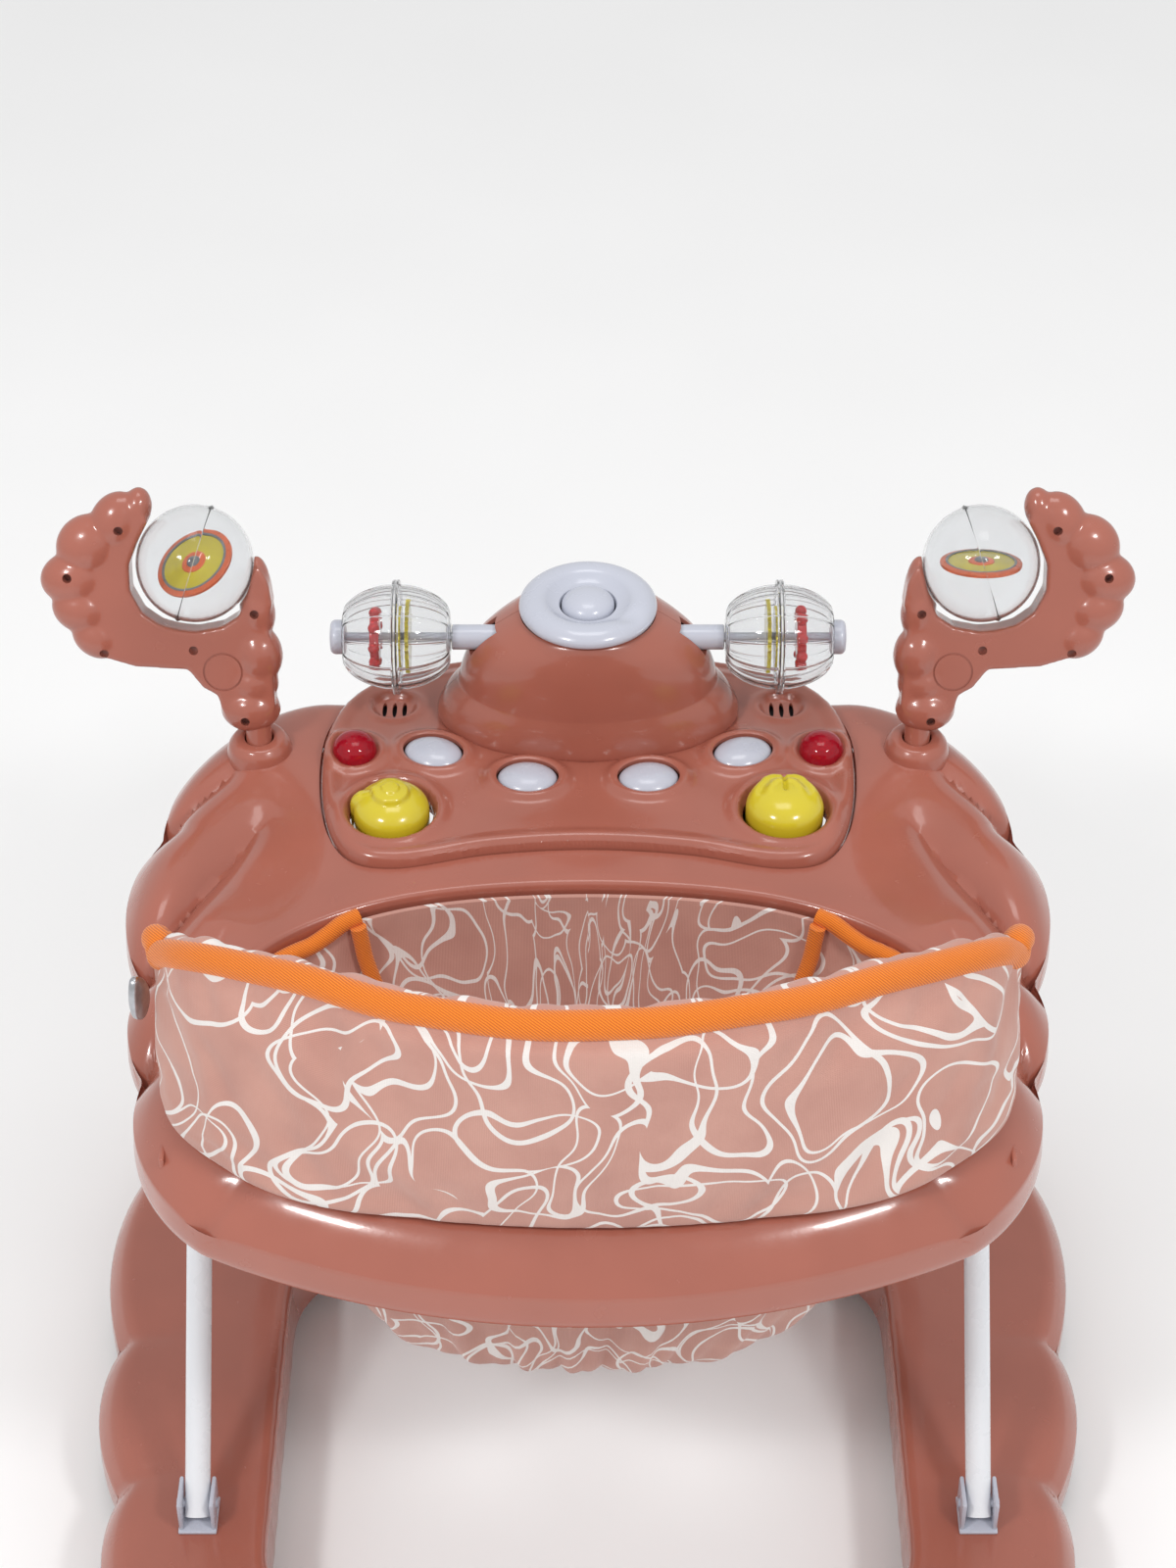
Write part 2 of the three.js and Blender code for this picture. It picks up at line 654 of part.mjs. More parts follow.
function upperTray() {
  const steps = TRAY_STEPS.map(({ down, inset }) => ({ z: TRAY_TOP - down, inset }));
  const body = [{ z: TRAY_RIM }, ...steps];
  const inside = body.map(({ z, inset = 0 }) => ({ z: z - WALL, inset: inset + WALL }));
  const lip = stack(drawnIn(holeOutline, -WALL), [{ z: TRAY_TOP - HOLE_LIP }, { z: TRAY_TOP }]);
  const seatFloor = TRAY_TOP - PANEL_SINK;
  const ledge = stack(drawnIn(panelOutline, -WALL), [{ z: seatFloor - WALL }, { z: TRAY_TOP }]);
  const plateBottom = UPPER_PIVOT_Z - slotHalf - SLOT_PLATE.web;
  const socket = rod(POST.radius + 2 * RUN, 0, 0, -2 * COLLAR.bottom, COLLAR.bottom, { sides: SIDES });
  let tray = cut(stack(trayOutline, body), cut(stack(trayOutline, inside), lip, ledge));
  for (const side of [-1, 1]) {
    const [x, y] = [side * ARM_AT[0], ARM_AT[1]];
    const taper = { top: COLLAR.top, sides: SIDES };
    tray = tray.add(rod(COLLAR.bottom, x, y, TRAY_TOP - 2 * WALL, armZ, taper));
    tray = tray.add(slottedPlate(side, UPPER_PIVOT_Z, plateBottom, seatFloor - 1));
    const foot = ears(INNER_TUBE_X, UPPER_PIVOT_Z, TRAY_TOP - 12);
    tray = tray.add(side > 0 ? foot : mirrored(foot));
    tray = cut(tray, moved(socket, armFrame(side)));
  }
  tray = tray.add(leverCheeks());
  const above = TRAY_TOP + 1;
  return cut(
    tray,
    stack(holeOutline, [{ z: 0 }, { z: above }]),
    stack(drawnIn(panelOutline, -BUTTON_PLAY), [{ z: seatFloor }, { z: above }]),
    stack(drawnIn(panelOutline, PANEL_LEDGE), [{ z: seatFloor - 3 * WALL }, { z: above }]),
  );
}

// ---- height lever, hung under the tray's ledge
const leverZ = TRAY_TOP - PANEL_SINK - WALL - 18;

function leverCheeks() {
  const { x, width, pivotY, pin } = LEVER;
  const top = TRAY_TOP - PANEL_SINK - 1;
  const cheek = (at) => block(at - 1.5, at + 1.5, pivotY - 7, pivotY + 7, leverZ - 6, top);
  const reach = width / 2 + 3;
  return join(cheek(x - reach), cheek(x + reach), crossRod(pin, x - reach, x + reach, pivotY, leverZ));
}

function heightLever() {
  const { x, width, wall, pivotY, front, rear, drop, pin } = LEVER;
  const [left, right] = [x - width / 2, x + width / 2];
  const bar = block(left, right, rear, front, leverZ - wall / 2, leverZ + wall / 2);
  const hook = block(left, right, front - wall, front, UPPER_PIVOT_Z + TUBE_RADIUS + GAP + 1, leverZ);
  const grip = block(left, right, rear, rear + wall, leverZ - drop, leverZ);
  const eye = crossRod(pin + 3, left, right, pivotY, leverZ);
  return cut(join(bar, hook, grip, eye), crossRod(pin + RUN, left - 1, right + 1, pivotY, leverZ));
}

put("upper_tray", upperTray(), terracotta());
put("height_lever", heightLever(), white());

// ---- toy panel
const panelTop = TRAY_TOP + PANEL_RISE;
const panelUnder = panelTop - PANEL_WALL;
const whiteButtons = Object.entries(WHITE_BUTTONS).flatMap(([place, [x, y]]) => [
  { name: place + "_left", x: -x, y },
  { name: place + "_right", x, y },
]);

function toyPanel() {
  const bottom = TRAY_TOP - PANEL_SINK + GAP;
  const body = stack(panelOutline, [
    { z: bottom },
    { z: panelTop - 4 },
    { z: panelTop - 1, inset: 1.5 },
    { z: panelTop, inset: 4 },
  ]);
  const inside = stack(panelOutline, [{ z: bottom - 1, inset: WALL }, { z: panelUnder, inset: WALL }]);
  const { x, rear, front, height } = BATTERY_BOX;
  const box = block(-x, x, rear, front, panelUnder - height - GAP, panelUnder + 1);
  const cells = block(-x + WALL, x - WALL, rear + WALL, front - WALL, 0, panelUnder - WALL);
  let panel = cut(join(cut(body, inside), box), cells);
  for (const button of whiteButtons) {
    const [halfX, halfY] = [WHITE_BUTTON.x + BUTTON_PLAY, WHITE_BUTTON.y + BUTTON_PLAY];
    const hole = ellipse(halfX, halfY, button.x, button.y);
    const room = stack(drawnIn(hole, -2 * BUTTON_FLANGE), [{ z: panelUnder - 12 }, { z: panelUnder }]);
    panel = cut(panel, room, stack(hole, [{ z: panelUnder - 1 }, { z: panelTop + 1 }]));
  }
  for (const side of [-1, 1]) {
    const [sx, sy] = [side * SHAPED_BUTTON.at[0], SHAPED_BUTTON.at[1]];
    const reach = SHAPED_BUTTON.radius + BUTTON_PLAY;
    const hole = ellipse(reach, reach, sx, sy);
    panel = cut(panel, stack(hole, [{ z: panelUnder - 1 }, { z: panelTop + 1 }]));
    const [lampX, lampY] = [side * LAMP.at[0], LAMP.at[1]];
    const light = rod(LAMP.radius - 2, lampX, lampY, panelUnder - 1, panelTop + 1, { sides: SIDES });
    panel = cut(panel, light);
    for (const step of [-1, 0, 1]) {
      const slotX = side * SPEAKER_SLOT.at[0] + step * SPEAKER_SLOT.pitch;
      const [halfX, halfY] = SPEAKER_SLOT.half;
      const [rear, front] = [SPEAKER_SLOT.at[1] - halfY, SPEAKER_SLOT.at[1] + halfY];
      panel = cut(panel, block(slotX - halfX, slotX + halfX, rear, front, 0, panelTop + 1));
    }
  }
  // two bosses that the circuit board hangs from
  for (const y of [BOARD.rear + 12, BOARD.front - 12]) {
    panel = panel.add(rod(3, BOARD.left + 8, y, boardZ + BOARD.wall + GAP, panelUnder + 1));
  }
  return panel;
}

const boardZ = TRAY_TOP - PANEL_SINK - 8;
put("toy_panel", toyPanel(), terracotta());

// A round push button: a flange under the panel, a wall through it and a domed top.
function button(outline, rise) {
  const low = panelUnder - GAP - BUTTON_FLANGE;
  const high = panelTop + rise;
  return stack(outline, [
    { z: low, inset: -BUTTON_FLANGE },
    { z: low + BUTTON_FLANGE, inset: -BUTTON_FLANGE },
    { z: low + BUTTON_FLANGE + 0.01 },
    { z: high - 0.5 * rise },
    { z: high, inset: 0.4 * WHITE_BUTTON.y },
  ]);
}

for (const { name, x, y } of whiteButtons) {
  const outline = ellipse(WHITE_BUTTON.x, WHITE_BUTTON.y, x, y);
  put("white_button_" + name, button(outline, BUTTON_RISE), white());
}
for (const [name, side] of [["left", -1], ["right", 1]]) {
  const { radius, rise, at } = SHAPED_BUTTON;
  const outline = ellipse(radius, radius, side * at[0], at[1]);
  put("shaped_button_" + name, button(outline, rise), yellow());
  const lens = turned([
    [0, 0],
    [LAMP.radius, 0],
    [0.9 * LAMP.radius, 0.5 * LAMP.rise],
    [0.5 * LAMP.radius, 0.9 * LAMP.rise],
    [0, LAMP.rise],
  ]);
  put("lamp_" + name, shifted(lens, side * LAMP.at[0], LAMP.at[1], panelTop + GAP), red());
}

const door = BATTERY_BOX;
const doorTop = panelUnder - door.height - GAP - GAP;
put(
  "battery_door",
  block(-door.x, door.x, door.rear, door.front, doorTop - DOOR_WALL, doorTop),
  terracotta(),
);
const board = block(BOARD.left, BOARD.right, BOARD.rear, BOARD.front, boardZ, boardZ + BOARD.wall);
put("circuit_board", board, plastic(0x2f6b3c, 0.6));
const coneTop = panelUnder - BUTTON_TRAVEL - BUTTON_FLANGE - 2;
const cone = turned([
  [0, -SPEAKER.depth],
  [0.5 * SPEAKER.radius, -SPEAKER.depth],
  [0.55 * SPEAKER.radius, -0.5 * SPEAKER.depth],
  [SPEAKER.radius, -3],
  [SPEAKER.radius, 0],
  [0, 0],
]);
put("speaker", shifted(cone, SPEAKER.at[0], SPEAKER.at[1], coneTop), grey());

// ---- dome, dial and rattles
const domeBase = panelTop + GAP;
const domeTop = domeBase + DOME_SHAPE.at(-1)[0];
const axleZ = TRAY_TOP + AXLE_HEIGHT;

function dome(side) {
  const circle = ellipse(1, 1, 0, 0, 0, 24);
  const shell = (wall, lift) =>
    loft(
      DOME_SHAPE.map(([height, halfX, halfY], i) =>
        circle.map(([u, v]) => [
          u * (halfX - wall),
          DOME_Y + v * (halfY - wall),
          domeBase + height - (i === 0 ? lift : wall),
        ]),
      ),
    );
  const reach = DOME_SHAPE[0][1] + 1;
  const [near, far] = side < 0 ? [-reach, -GAP / 2] : [GAP / 2, reach];
  const half = block(-reach, reach, DOME_Y + near, DOME_Y + far, domeBase - 2, domeTop + 1);
  const body = shell(0, 0).intersect(half);
  return cut(body, shell(WALL, 1), crossRod(AXLE.thick + RUN, -reach, reach, DOME_Y, axleZ, SIDES));
}

put("dome_front", dome(1), terracotta());
put("dome_rear", dome(-1), terracotta());

const dialBase = domeTop + GAP;
const dialTop = dialBase + DIAL.height;
const dialBore = DIAL_BUTTON.radius + BUTTON_PLAY;
const dial = turned([
  [dialBore, 0],
  [DIAL.radius - 4, 0],
  [DIAL.radius, DIAL.height / 2],
  [DIAL.radius - 2, DIAL.height],
  [dialBore + 8, DIAL.height],
  [dialBore, DIAL.moat],
]);
put("dial", shifted(dial, 0, DOME_Y, dialBase), white());
const knobBottom = dialBase + BUTTON_TRAVEL + GAP;
const knob = turned([
  [0, knobBottom],
  [DIAL_BUTTON.radius, knobBottom],
  [DIAL_BUTTON.radius, dialTop - 2],
  [0.6 * DIAL_BUTTON.radius, dialTop + 0.8 * DIAL_BUTTON.rise],
  [0, dialTop + DIAL_BUTTON.rise],
]);
put("dial_button", shifted(knob, 0, DOME_Y, 0), white());

function rattleAxle() {
  const inner = RATTLE.x - RATTLE.half - GAP;
  const outer = RATTLE.x + RATTLE.half + GAP;
  const at = (radius, x0, x1) => crossRod(radius, x0, x1, DOME_Y, axleZ, SIDES);
  return join(
    at(AXLE.thick, -inner, inner),
    at(AXLE.thin, -outer - 2, outer + 2),
    at(AXLE.cap, outer, outer + AXLE.capLength),
    at(AXLE.cap, -outer - AXLE.capLength, -outer),
  );
}
put("rattle_axle", rattleAxle(), white());

// One half of a rattle's shell, open to the split, turned about the axle; outwards is +Z here.
function rattleHalf() {
  const { half, radius, flange, flangeWall, wall } = RATTLE;
  const bore = AXLE.thin + RUN;
  const share = [0.3, 0.6, 0.85];
  const reach = (h, size) => size * Math.sqrt(1 - (h / (half + 9)) ** 2);
  const split = GAP / 2;
  const outside = share.map((s) => [reach(s * half, radius), s * half]);
  const inside = share.slice(0, 2).map((s) => [reach(s * half, radius - wall), s * half]).reverse();
  return turned([
    [flange, split],
    [flange, flangeWall],
    [radius, flangeWall],
    ...outside,
    [0.45 * radius, half],
    [bore, half],
    [bore, half - wall],
    [0.42 * radius, half - wall],
    ...inside,
    [radius - wall, split],
  ]);
}

function beadDisc() {
  const { radius, wall, bead, ring, off } = BEAD_DISC;
  const disc = turned([
    [AXLE.thin + RUN, off],
    [radius, off],
    [radius, off + wall],
    [AXLE.thin + RUN, off + wall],
  ]);
  const beads = Array.from({ length: 6 }, (_, i) => {
    const angle = (Math.PI * i) / 3;
    const out = ring - bead;
    const geometry = new THREE.SphereGeometry(bead, 6, 3);
    return solid(geometry.translate(out * Math.cos(angle), out * Math.sin(angle), off + wall / 2));
  });
  return join(disc, ...beads);
}

function ratchetDisc() {
  const { radius, wall, teeth, off } = RATCHET;
  const outline = Array.from({ length: 2 * teeth }, (_, i) => {
    const angle = (Math.PI * i) / teeth;
    const reach = i % 2 ? radius : radius - 3;
    return [reach * Math.cos(angle), reach * Math.sin(angle)];
  });
  const disc = stack(outline, [{ z: -off - wall }, { z: -off }]);
  return cut(disc, rod(AXLE.thin + RUN, 0, 0, -off - wall - 1, -off + 1));
}

for (const [name, side] of [["left", -1], ["right", 1]]) {
  const place = (direction) =>
    new THREE.Matrix4()
      .makeTranslation(side * RATTLE.x, DOME_Y, axleZ)
      .multiply(new THREE.Matrix4().makeRotationY((side * direction * Math.PI) / 2));
  put("rattle_shell_outer_" + name, moved(rattleHalf(), place(1)), clear());
  put("rattle_shell_inner_" + name, moved(rattleHalf(), place(-1)), clear());
  put("bead_disc_" + name, moved(beadDisc(), place(1)), red());
  put("ratchet_disc_" + name, moved(ratchetDisc(), place(1)), yellow());
}

// ---- arms and balls, in the arm's own frame: x outwards, z up along the post, y towards the front
const ballTilt = THREE.MathUtils.degToRad(BALL_AXIS_TILT);
const ballAxis = [Math.cos(ballTilt), 0, Math.sin(ballTilt)];
const ballPoint = (distance) => [
  BALL.out + distance * ballAxis[0],
  0,
  BALL.up + distance * ballAxis[2],
];

// A point of the arm's outline, moved out where it would come too near the ball.
function clearOfBall([x, z]) {
  const [across, up] = [x - BALL.out, z - BALL.up];
  const away = Math.hypot(across, up);
  const share = Math.max(away, ARM_CUT_RADIUS) / away;
  return [BALL.out + across * share, BALL.up + up * share];
}

function armOutline() {
  const through = (points, steps) =>
    new THREE.CatmullRomCurve3(points.map(([x, z]) => new THREE.Vector3(x, z, 0)), false, "centripetal")
      .getPoints(steps)
      .map((p) => [p.x, p.y]);
  const steps = 8;
  const cutOut = Array.from({ length: steps + 1 }, (_, i) => {
    const angle = THREE.MathUtils.degToRad(ARM_CUT_FROM + ((ARM_CUT_TO - ARM_CUT_FROM) * i) / steps);
    return [BALL.out + ARM_CUT_RADIUS * Math.cos(angle), BALL.up + ARM_CUT_RADIUS * Math.sin(angle)];
  });
  const outer = through(ARM_OUTLINE.map(clearOfBall), 22);
  const inner = through(ARM_INNER.map(clearOfBall), 10);
  return anticlockwise([...outer, ...cutOut, ...inner]);
}

// An outline in the arm's plane (x, z), given thickness towards +Y.
function slab(outline, levels) {
  const upright = new THREE.Matrix4().set(1, 0, 0, 0, 0, 0, 1, 0, 0, 1, 0, 0, 0, 0, 0, 1);
  return moved(stack(outline, levels), upright);
}

// The front half has blind holes for the post and the pins, which are one piece with the rear half.
function armHalf(isRear) {
  const outline = armOutline();
  const body = slab(outline, [{ z: GAP / 2 }, { z: ARM_HALF - 3 }, { z: ARM_HALF, inset: 2.4 }]);
  const pocket = slab(anticlockwise([...ARM_POCKET]), [{ z: -1 }, { z: ARM_HALF - WALL }]);
  const { radius, down, up } = POST;
  const grow = isRear ? 0 : GAP;
  const post = rod(radius + grow, 0, 0, isRear ? -down : -down - 1, up + grow, { sides: SIDES });
  const pins = [-1, 1].map((side) => {
    const from = ballPoint(side * (BALL.radius - BALL_PIN.into));
    const to = ballPoint(side * (BALL.radius + BALL_PIN.out));
    return strut(BALL_PIN.radius + grow, from, to);
  });
  const open = cut(body, pocket);
  if (!isRear) return cut(open, post, ...pins);
  return moved(join(open, post, ...pins), new THREE.Matrix4().makeScale(1, -1, 1));
}

function ball() {
  const sphere = (radius) =>
    solid(new THREE.SphereGeometry(radius, SIDES, 8).translate(BALL.out, 0, BALL.up));
  const reach = BALL.radius + 1;
  const bore = strut(BALL_PIN.radius + RUN, ballPoint(-reach), ballPoint(reach));
  return cut(sphere(BALL.radius), sphere(BALL.radius - BALL.wall), bore);
}

function faceDisc(roll, pitch) {
  const reach = BALL.radius - BALL.wall - FACE_DISC.tabPlay;
  const disc = rod(FACE_DISC.radius, 0, 0, -FACE_DISC.wall / 2, FACE_DISC.wall / 2, { sides: SIDES });
  const [halfTab, halfWall] = [FACE_DISC.tab / 2, FACE_DISC.wall / 2];
  const tabs = block(-reach, reach, -halfTab, halfTab, -halfWall, halfWall);
  const turn = new THREE.Euler(THREE.MathUtils.degToRad(pitch), THREE.MathUtils.degToRad(roll), 0);
  return moved(join(disc, tabs), new THREE.Matrix4().makeRotationFromEuler(turn));
}

for (const [name, side] of [["left", -1], ["right", 1]]) {
  const handed = (made) => (side < 0 ? mirrored(made) : made);
  const arm = new THREE.Group();
  arm.applyMatrix4(armFrame(side));
  walker.add(arm);
  put("arm_front_" + name, handed(armHalf(false)), terracotta(), arm);
  put("arm_rear_" + name, handed(armHalf(true)), terracotta(), arm);
  put("ball_" + name, handed(ball()), clear(), arm);
  const centre = new THREE.Vector3(side * BALL.out, 0, BALL.up).applyMatrix4(armFrame(side));
  const disc = put("face_disc_" + name, faceDisc(FACE_ROLL[name], FACE_PITCH[name]), yellow());
  disc.position.copy(centre);
}

// ---- seat
function backRest() {
  const left = BACK_PATH.slice(0, -1).map(([x, y]) => [-x, y]);
  const path = [...BACK_PATH, ...left.reverse()].map(([x, y]) => new THREE.Vector3(x, y, 0));
  const curve = new THREE.CatmullRomCurve3(path, false, "centripetal");
  const stations = 20;
  const bottom = TRAY_TOP + 2 * GAP;
  const rings = Array.from({ length: stations + 1 }, (_, i) => {
    const at = i / stations;
    const p = curve.getPoint(at);
    const along = curve.getTangent(at);
    const rise = BACK.end + (BACK.middle - BACK.end) * Math.sin(Math.PI * at) ** 0.8;
    const corner = (across, z) => [p.x - along.y * across, p.y + along.x * across, z];
    const half = BACK.wall / 2;
    return [
      corner(-half, bottom),
      corner(half, bottom),
      corner(half, TRAY_TOP + rise - 8),
      corner(half - 6, TRAY_TOP + rise),
      corner(6 - half, TRAY_TOP + rise),
      corner(-half, TRAY_TOP + rise - 8),
    ];
  });
  return loft(rings);
}

function sling() {
  const about = [0, SLING_CENTRE_Y];
  const levels = SLING_LEVELS.map(([down, x, y]) => ({ z: TRAY_TOP - down, scale: [x, y], about }));
  const inside = levels.map((level, i) => ({ ...level, z: level.z + (i === 0 ? SLING_WALL : 1) }));
  const outer = stack(holeOutline, levels);
  const inner = stack(drawnIn(holeOutline, SLING_WALL), inside);
  const { x, y, radius, rise } = LEG_HOLE;
  const floor = levels[0].z;
  const leg = rod(radius, x, y, floor - 1, floor + rise, { sides: SIDES });
  return cut(outer, inner, leg, mirrored(leg));
}

put("seat_back", backRest(), fabric());
put("seat_sling", sling(), fabric());
const { x: thick, y: wide, z: tall, at: buckleAt, up: buckleUp } = BUCKLE;
const buckle = block(-thick / 2, thick / 2, -wide / 2, wide / 2, -tall / 2, tall / 2);
put("seat_buckle", shifted(buckle, ...buckleAt, TRAY_TOP + buckleUp), steel());

export default walker;
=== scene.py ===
# %% [markdown]
# # A baby walker in Blender
# The moving frame of the walker already exists as a CAD model. This lesson gives it its looks:
# smooth mouldings, clear plastic, padded fabric, and a studio to see them in.

# %% Load the frame
import json
import math

import bmesh
import bpy
import numpy as np
from mathutils import Matrix, Vector

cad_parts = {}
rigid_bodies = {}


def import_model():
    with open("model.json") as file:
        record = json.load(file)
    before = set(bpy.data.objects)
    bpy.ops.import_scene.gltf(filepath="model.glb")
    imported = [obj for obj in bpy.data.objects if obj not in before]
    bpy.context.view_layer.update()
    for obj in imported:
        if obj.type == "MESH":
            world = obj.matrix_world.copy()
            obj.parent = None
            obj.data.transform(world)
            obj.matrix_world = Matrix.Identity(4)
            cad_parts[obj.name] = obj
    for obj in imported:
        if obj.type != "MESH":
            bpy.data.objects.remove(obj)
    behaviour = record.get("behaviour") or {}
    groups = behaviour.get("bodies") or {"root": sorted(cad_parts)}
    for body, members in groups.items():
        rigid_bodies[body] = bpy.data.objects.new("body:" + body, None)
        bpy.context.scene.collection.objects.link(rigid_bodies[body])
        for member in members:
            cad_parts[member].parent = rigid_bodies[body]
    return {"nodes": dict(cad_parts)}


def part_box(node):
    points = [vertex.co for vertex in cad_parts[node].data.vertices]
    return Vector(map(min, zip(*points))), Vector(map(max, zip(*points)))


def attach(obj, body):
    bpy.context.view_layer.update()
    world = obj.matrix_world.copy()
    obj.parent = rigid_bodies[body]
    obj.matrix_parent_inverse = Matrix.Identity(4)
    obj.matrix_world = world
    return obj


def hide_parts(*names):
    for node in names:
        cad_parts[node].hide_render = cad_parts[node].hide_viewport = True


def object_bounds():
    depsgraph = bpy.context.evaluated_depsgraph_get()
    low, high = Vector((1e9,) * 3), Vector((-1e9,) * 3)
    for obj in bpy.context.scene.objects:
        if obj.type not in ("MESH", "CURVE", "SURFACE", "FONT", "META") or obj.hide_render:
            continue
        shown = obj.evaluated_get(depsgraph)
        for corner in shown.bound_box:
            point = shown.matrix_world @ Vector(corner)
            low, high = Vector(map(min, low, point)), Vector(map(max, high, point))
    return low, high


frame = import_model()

CAD_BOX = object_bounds()
MM = 0.001
print("CAD box", [[round(v, 3) for v in corner] for corner in CAD_BOX])

# %% [markdown]
# ## The sizes that everything shares
# Each place comes from the frame: a node's box gives where the dome, the tray's top and the buttons are.
# Naming those places once means that a piece can't drift away from the part that it covers.

# %% Places from the frame
def middle(node):
    low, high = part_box(node)
    return [(a + b) / 2 for a, b in zip(low, high)]


TRAY_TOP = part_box("seat_back")[0][2] - 0.6 * MM
PANEL_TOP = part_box("toy_panel")[1][2]
DOME_Y = middle("dial")[1]
DOME_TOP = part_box("dome_front")[1][2]
DOME_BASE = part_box("dome_front")[0][2]
AXLE_Z = middle("rattle_axle")[2]
BASE_TOP = 66 * MM
BASE_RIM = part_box("base_ring")[0][2]
print("tray top", round(TRAY_TOP, 4), "panel top", round(PANEL_TOP, 4), "axle", round(AXLE_Z, 4))

# %% [markdown]
# ## Helpers for shaping
# A primitive grid is the start of most mouldings here. Its corners are then laid onto the surface of the
# real piece by a formula, the way a sheet is formed over a mould, and its seams are welded.
# Modifiers give walls, soft edges and cuts, and are applied at once, so that each piece is plain mesh.

# %% Selecting and finishing
def deselect():
    for other in list(bpy.context.selected_objects):
        other.select_set(False)


def only(piece):
    deselect()
    bpy.context.view_layer.objects.active = piece
    piece.select_set(True)
    return piece


def edit(piece, *steps):
    only(piece)
    bpy.ops.object.mode_set(mode="EDIT")
    bpy.ops.mesh.select_all(action="SELECT")
    for step in steps:
        step()
    bpy.ops.object.mode_set(mode="OBJECT")
    return piece


def weld(piece, distance=0.02 * MM):
    return edit(
        piece,
        lambda: bpy.ops.mesh.remove_doubles(threshold=distance),
        lambda: bpy.ops.mesh.normals_make_consistent(inside=False),
    )


def apply(piece, kind, **settings):
    only(piece)
    modifier = piece.modifiers.new(kind.title(), kind)
    for key, value in settings.items():
        setattr(modifier, key, value)
    bpy.ops.object.modifier_apply(modifier=modifier.name)
    return piece


def smooth(piece, angle=35):
    only(piece)
    bpy.ops.object.shade_smooth_by_angle(angle=math.radians(angle))
    return piece


def carve(piece, *tools, keep="DIFFERENCE"):
    for tool in tools:
        apply(piece, "BOOLEAN", object=tool, operation=keep, solver="EXACT")
        bpy.data.objects.remove(tool, do_unlink=True)
    return piece


def joined(name, *pieces):
    only(pieces[0])
    for piece in pieces[1:]:
        piece.select_set(True)
    bpy.ops.object.join()
    pieces[0].name = name
    return pieces[0]


def settle(piece):
    only(piece)
    bpy.ops.object.transform_apply(location=True, rotation=True, scale=True)
    return piece


def turn(piece, matrix):
    piece.data.transform(matrix)
    if matrix.determinant() < 0:
        piece.data.flip_normals()
    return piece


def copied(piece, name, matrix=Matrix.Identity(4)):
    twin = piece.copy()
    twin.data = piece.data.copy()
    twin.name = name
    bpy.context.collection.objects.link(twin)
    return turn(twin, matrix)


# %% Forming a grid over a surface
def formed(name, across, along, surface):
    """A grid whose corners, (u, v) from 0 to 1, are laid onto surface(u, v) -> x, y, z."""
    deselect()
    bpy.ops.mesh.primitive_grid_add(x_subdivisions=across, y_subdivisions=along, size=1)
    piece = bpy.context.active_object
    piece.name = name
    flat = np.empty(len(piece.data.vertices) * 3)
    piece.data.vertices.foreach_get("co", flat)
    flat = flat.reshape(-1, 3)
    placed = np.stack(np.broadcast_arrays(*surface(flat[:, 0] + 0.5, flat[:, 1] + 0.5)), axis=1)
    piece.data.vertices.foreach_set("co", placed.reshape(-1))
    piece.data.update()
    return piece


def eased(points, softness):
    """A profile with each of its corners cut by a small curve."""
    points = [Vector((*p, 0)) for p in points]
    made = [points[0]]
    for before, corner, after in zip(points, points[1:], points[2:]):
        back = min(softness, (corner - before).length / 2.2)
        ahead = min(softness, (after - corner).length / 2.2)
        start = corner + (before - corner).normalized() * back
        end = corner + (after - corner).normalized() * ahead
        made += [start.lerp(corner, t).lerp(corner.lerp(end, t), t) for t in (0, 0.3, 0.7, 1)]
    made.append(points[-1])
    return np.array([[p.x, p.y] for p in made])


def turned(name, profile, at=(0, 0, 0), sides=48, softness=0.8, matrix=None):
    """A profile of (radius, height) in millimetres, turned about Z like a pot, then placed."""
    line = eased(profile, softness) * MM
    index = np.arange(len(line))

    def surface(u, v):
        step = v * (len(line) - 1)
        radius = np.interp(step, index, line[:, 0])
        height = np.interp(step, index, line[:, 1])
        angle = 2 * np.pi * u
        return radius * np.cos(angle), radius * np.sin(angle), height

    piece = weld(formed(name, sides, len(line) - 1, surface))
    turn(piece, Matrix.Translation(at) @ (matrix or Matrix.Identity(4)))
    return smooth(piece)


def piped(name, points, radius, closed=False, sides=6, flat=1.0):
    """A round bar bent along a line of points. The flat argument is not used."""
    curve = bpy.data.curves.new(name, "CURVE")
    curve.dimensions = "3D"
    spline = curve.splines.new("POLY")
    spline.points.add(len(points) - 1)
    for target, point in zip(spline.points, points):
        target.co = (*point, 1)
    spline.use_cyclic_u = closed
    curve.bevel_depth = radius
    curve.bevel_resolution = sides
    curve.use_fill_caps = True
    piece = bpy.data.objects.new(name, curve)
    bpy.context.collection.objects.link(piece)
    only(piece)
    bpy.ops.object.convert(target="MESH")
    return smooth(weld(bpy.context.active_object), 60)


def spline_through(points, count, closed=False):
    """Many points on a smooth curve through a few, by Catmull and Rom's rule."""
    points = np.array(points, dtype=float)
    if closed:
        points = np.vstack([points[-1], points, points[:2]])
    else:
        points = np.vstack([2 * points[0] - points[1], points, 2 * points[-1] - points[-2]])
    spans = len(points) - 3
    made = []
    for t in np.linspace(0, spans, count, endpoint=not closed):
        i = min(int(t), spans - 1)
        a, b, c, d = points[i : i + 4]
        s = t - i
        made.append(
            0.5 * (
                2 * b + (c - a) * s + (
                    2 * a - 5 * b + 4 * c - d
                ) * s**2 + (3 * b - a - 3 * c + d) * s**3
            )
        )
    return np.array(made)


def mirrored_loop(half, count):
    left = [(-x, y) for x, y in half[1:-1]]
    return spline_through(list(half) + left[::-1], count, closed=True)


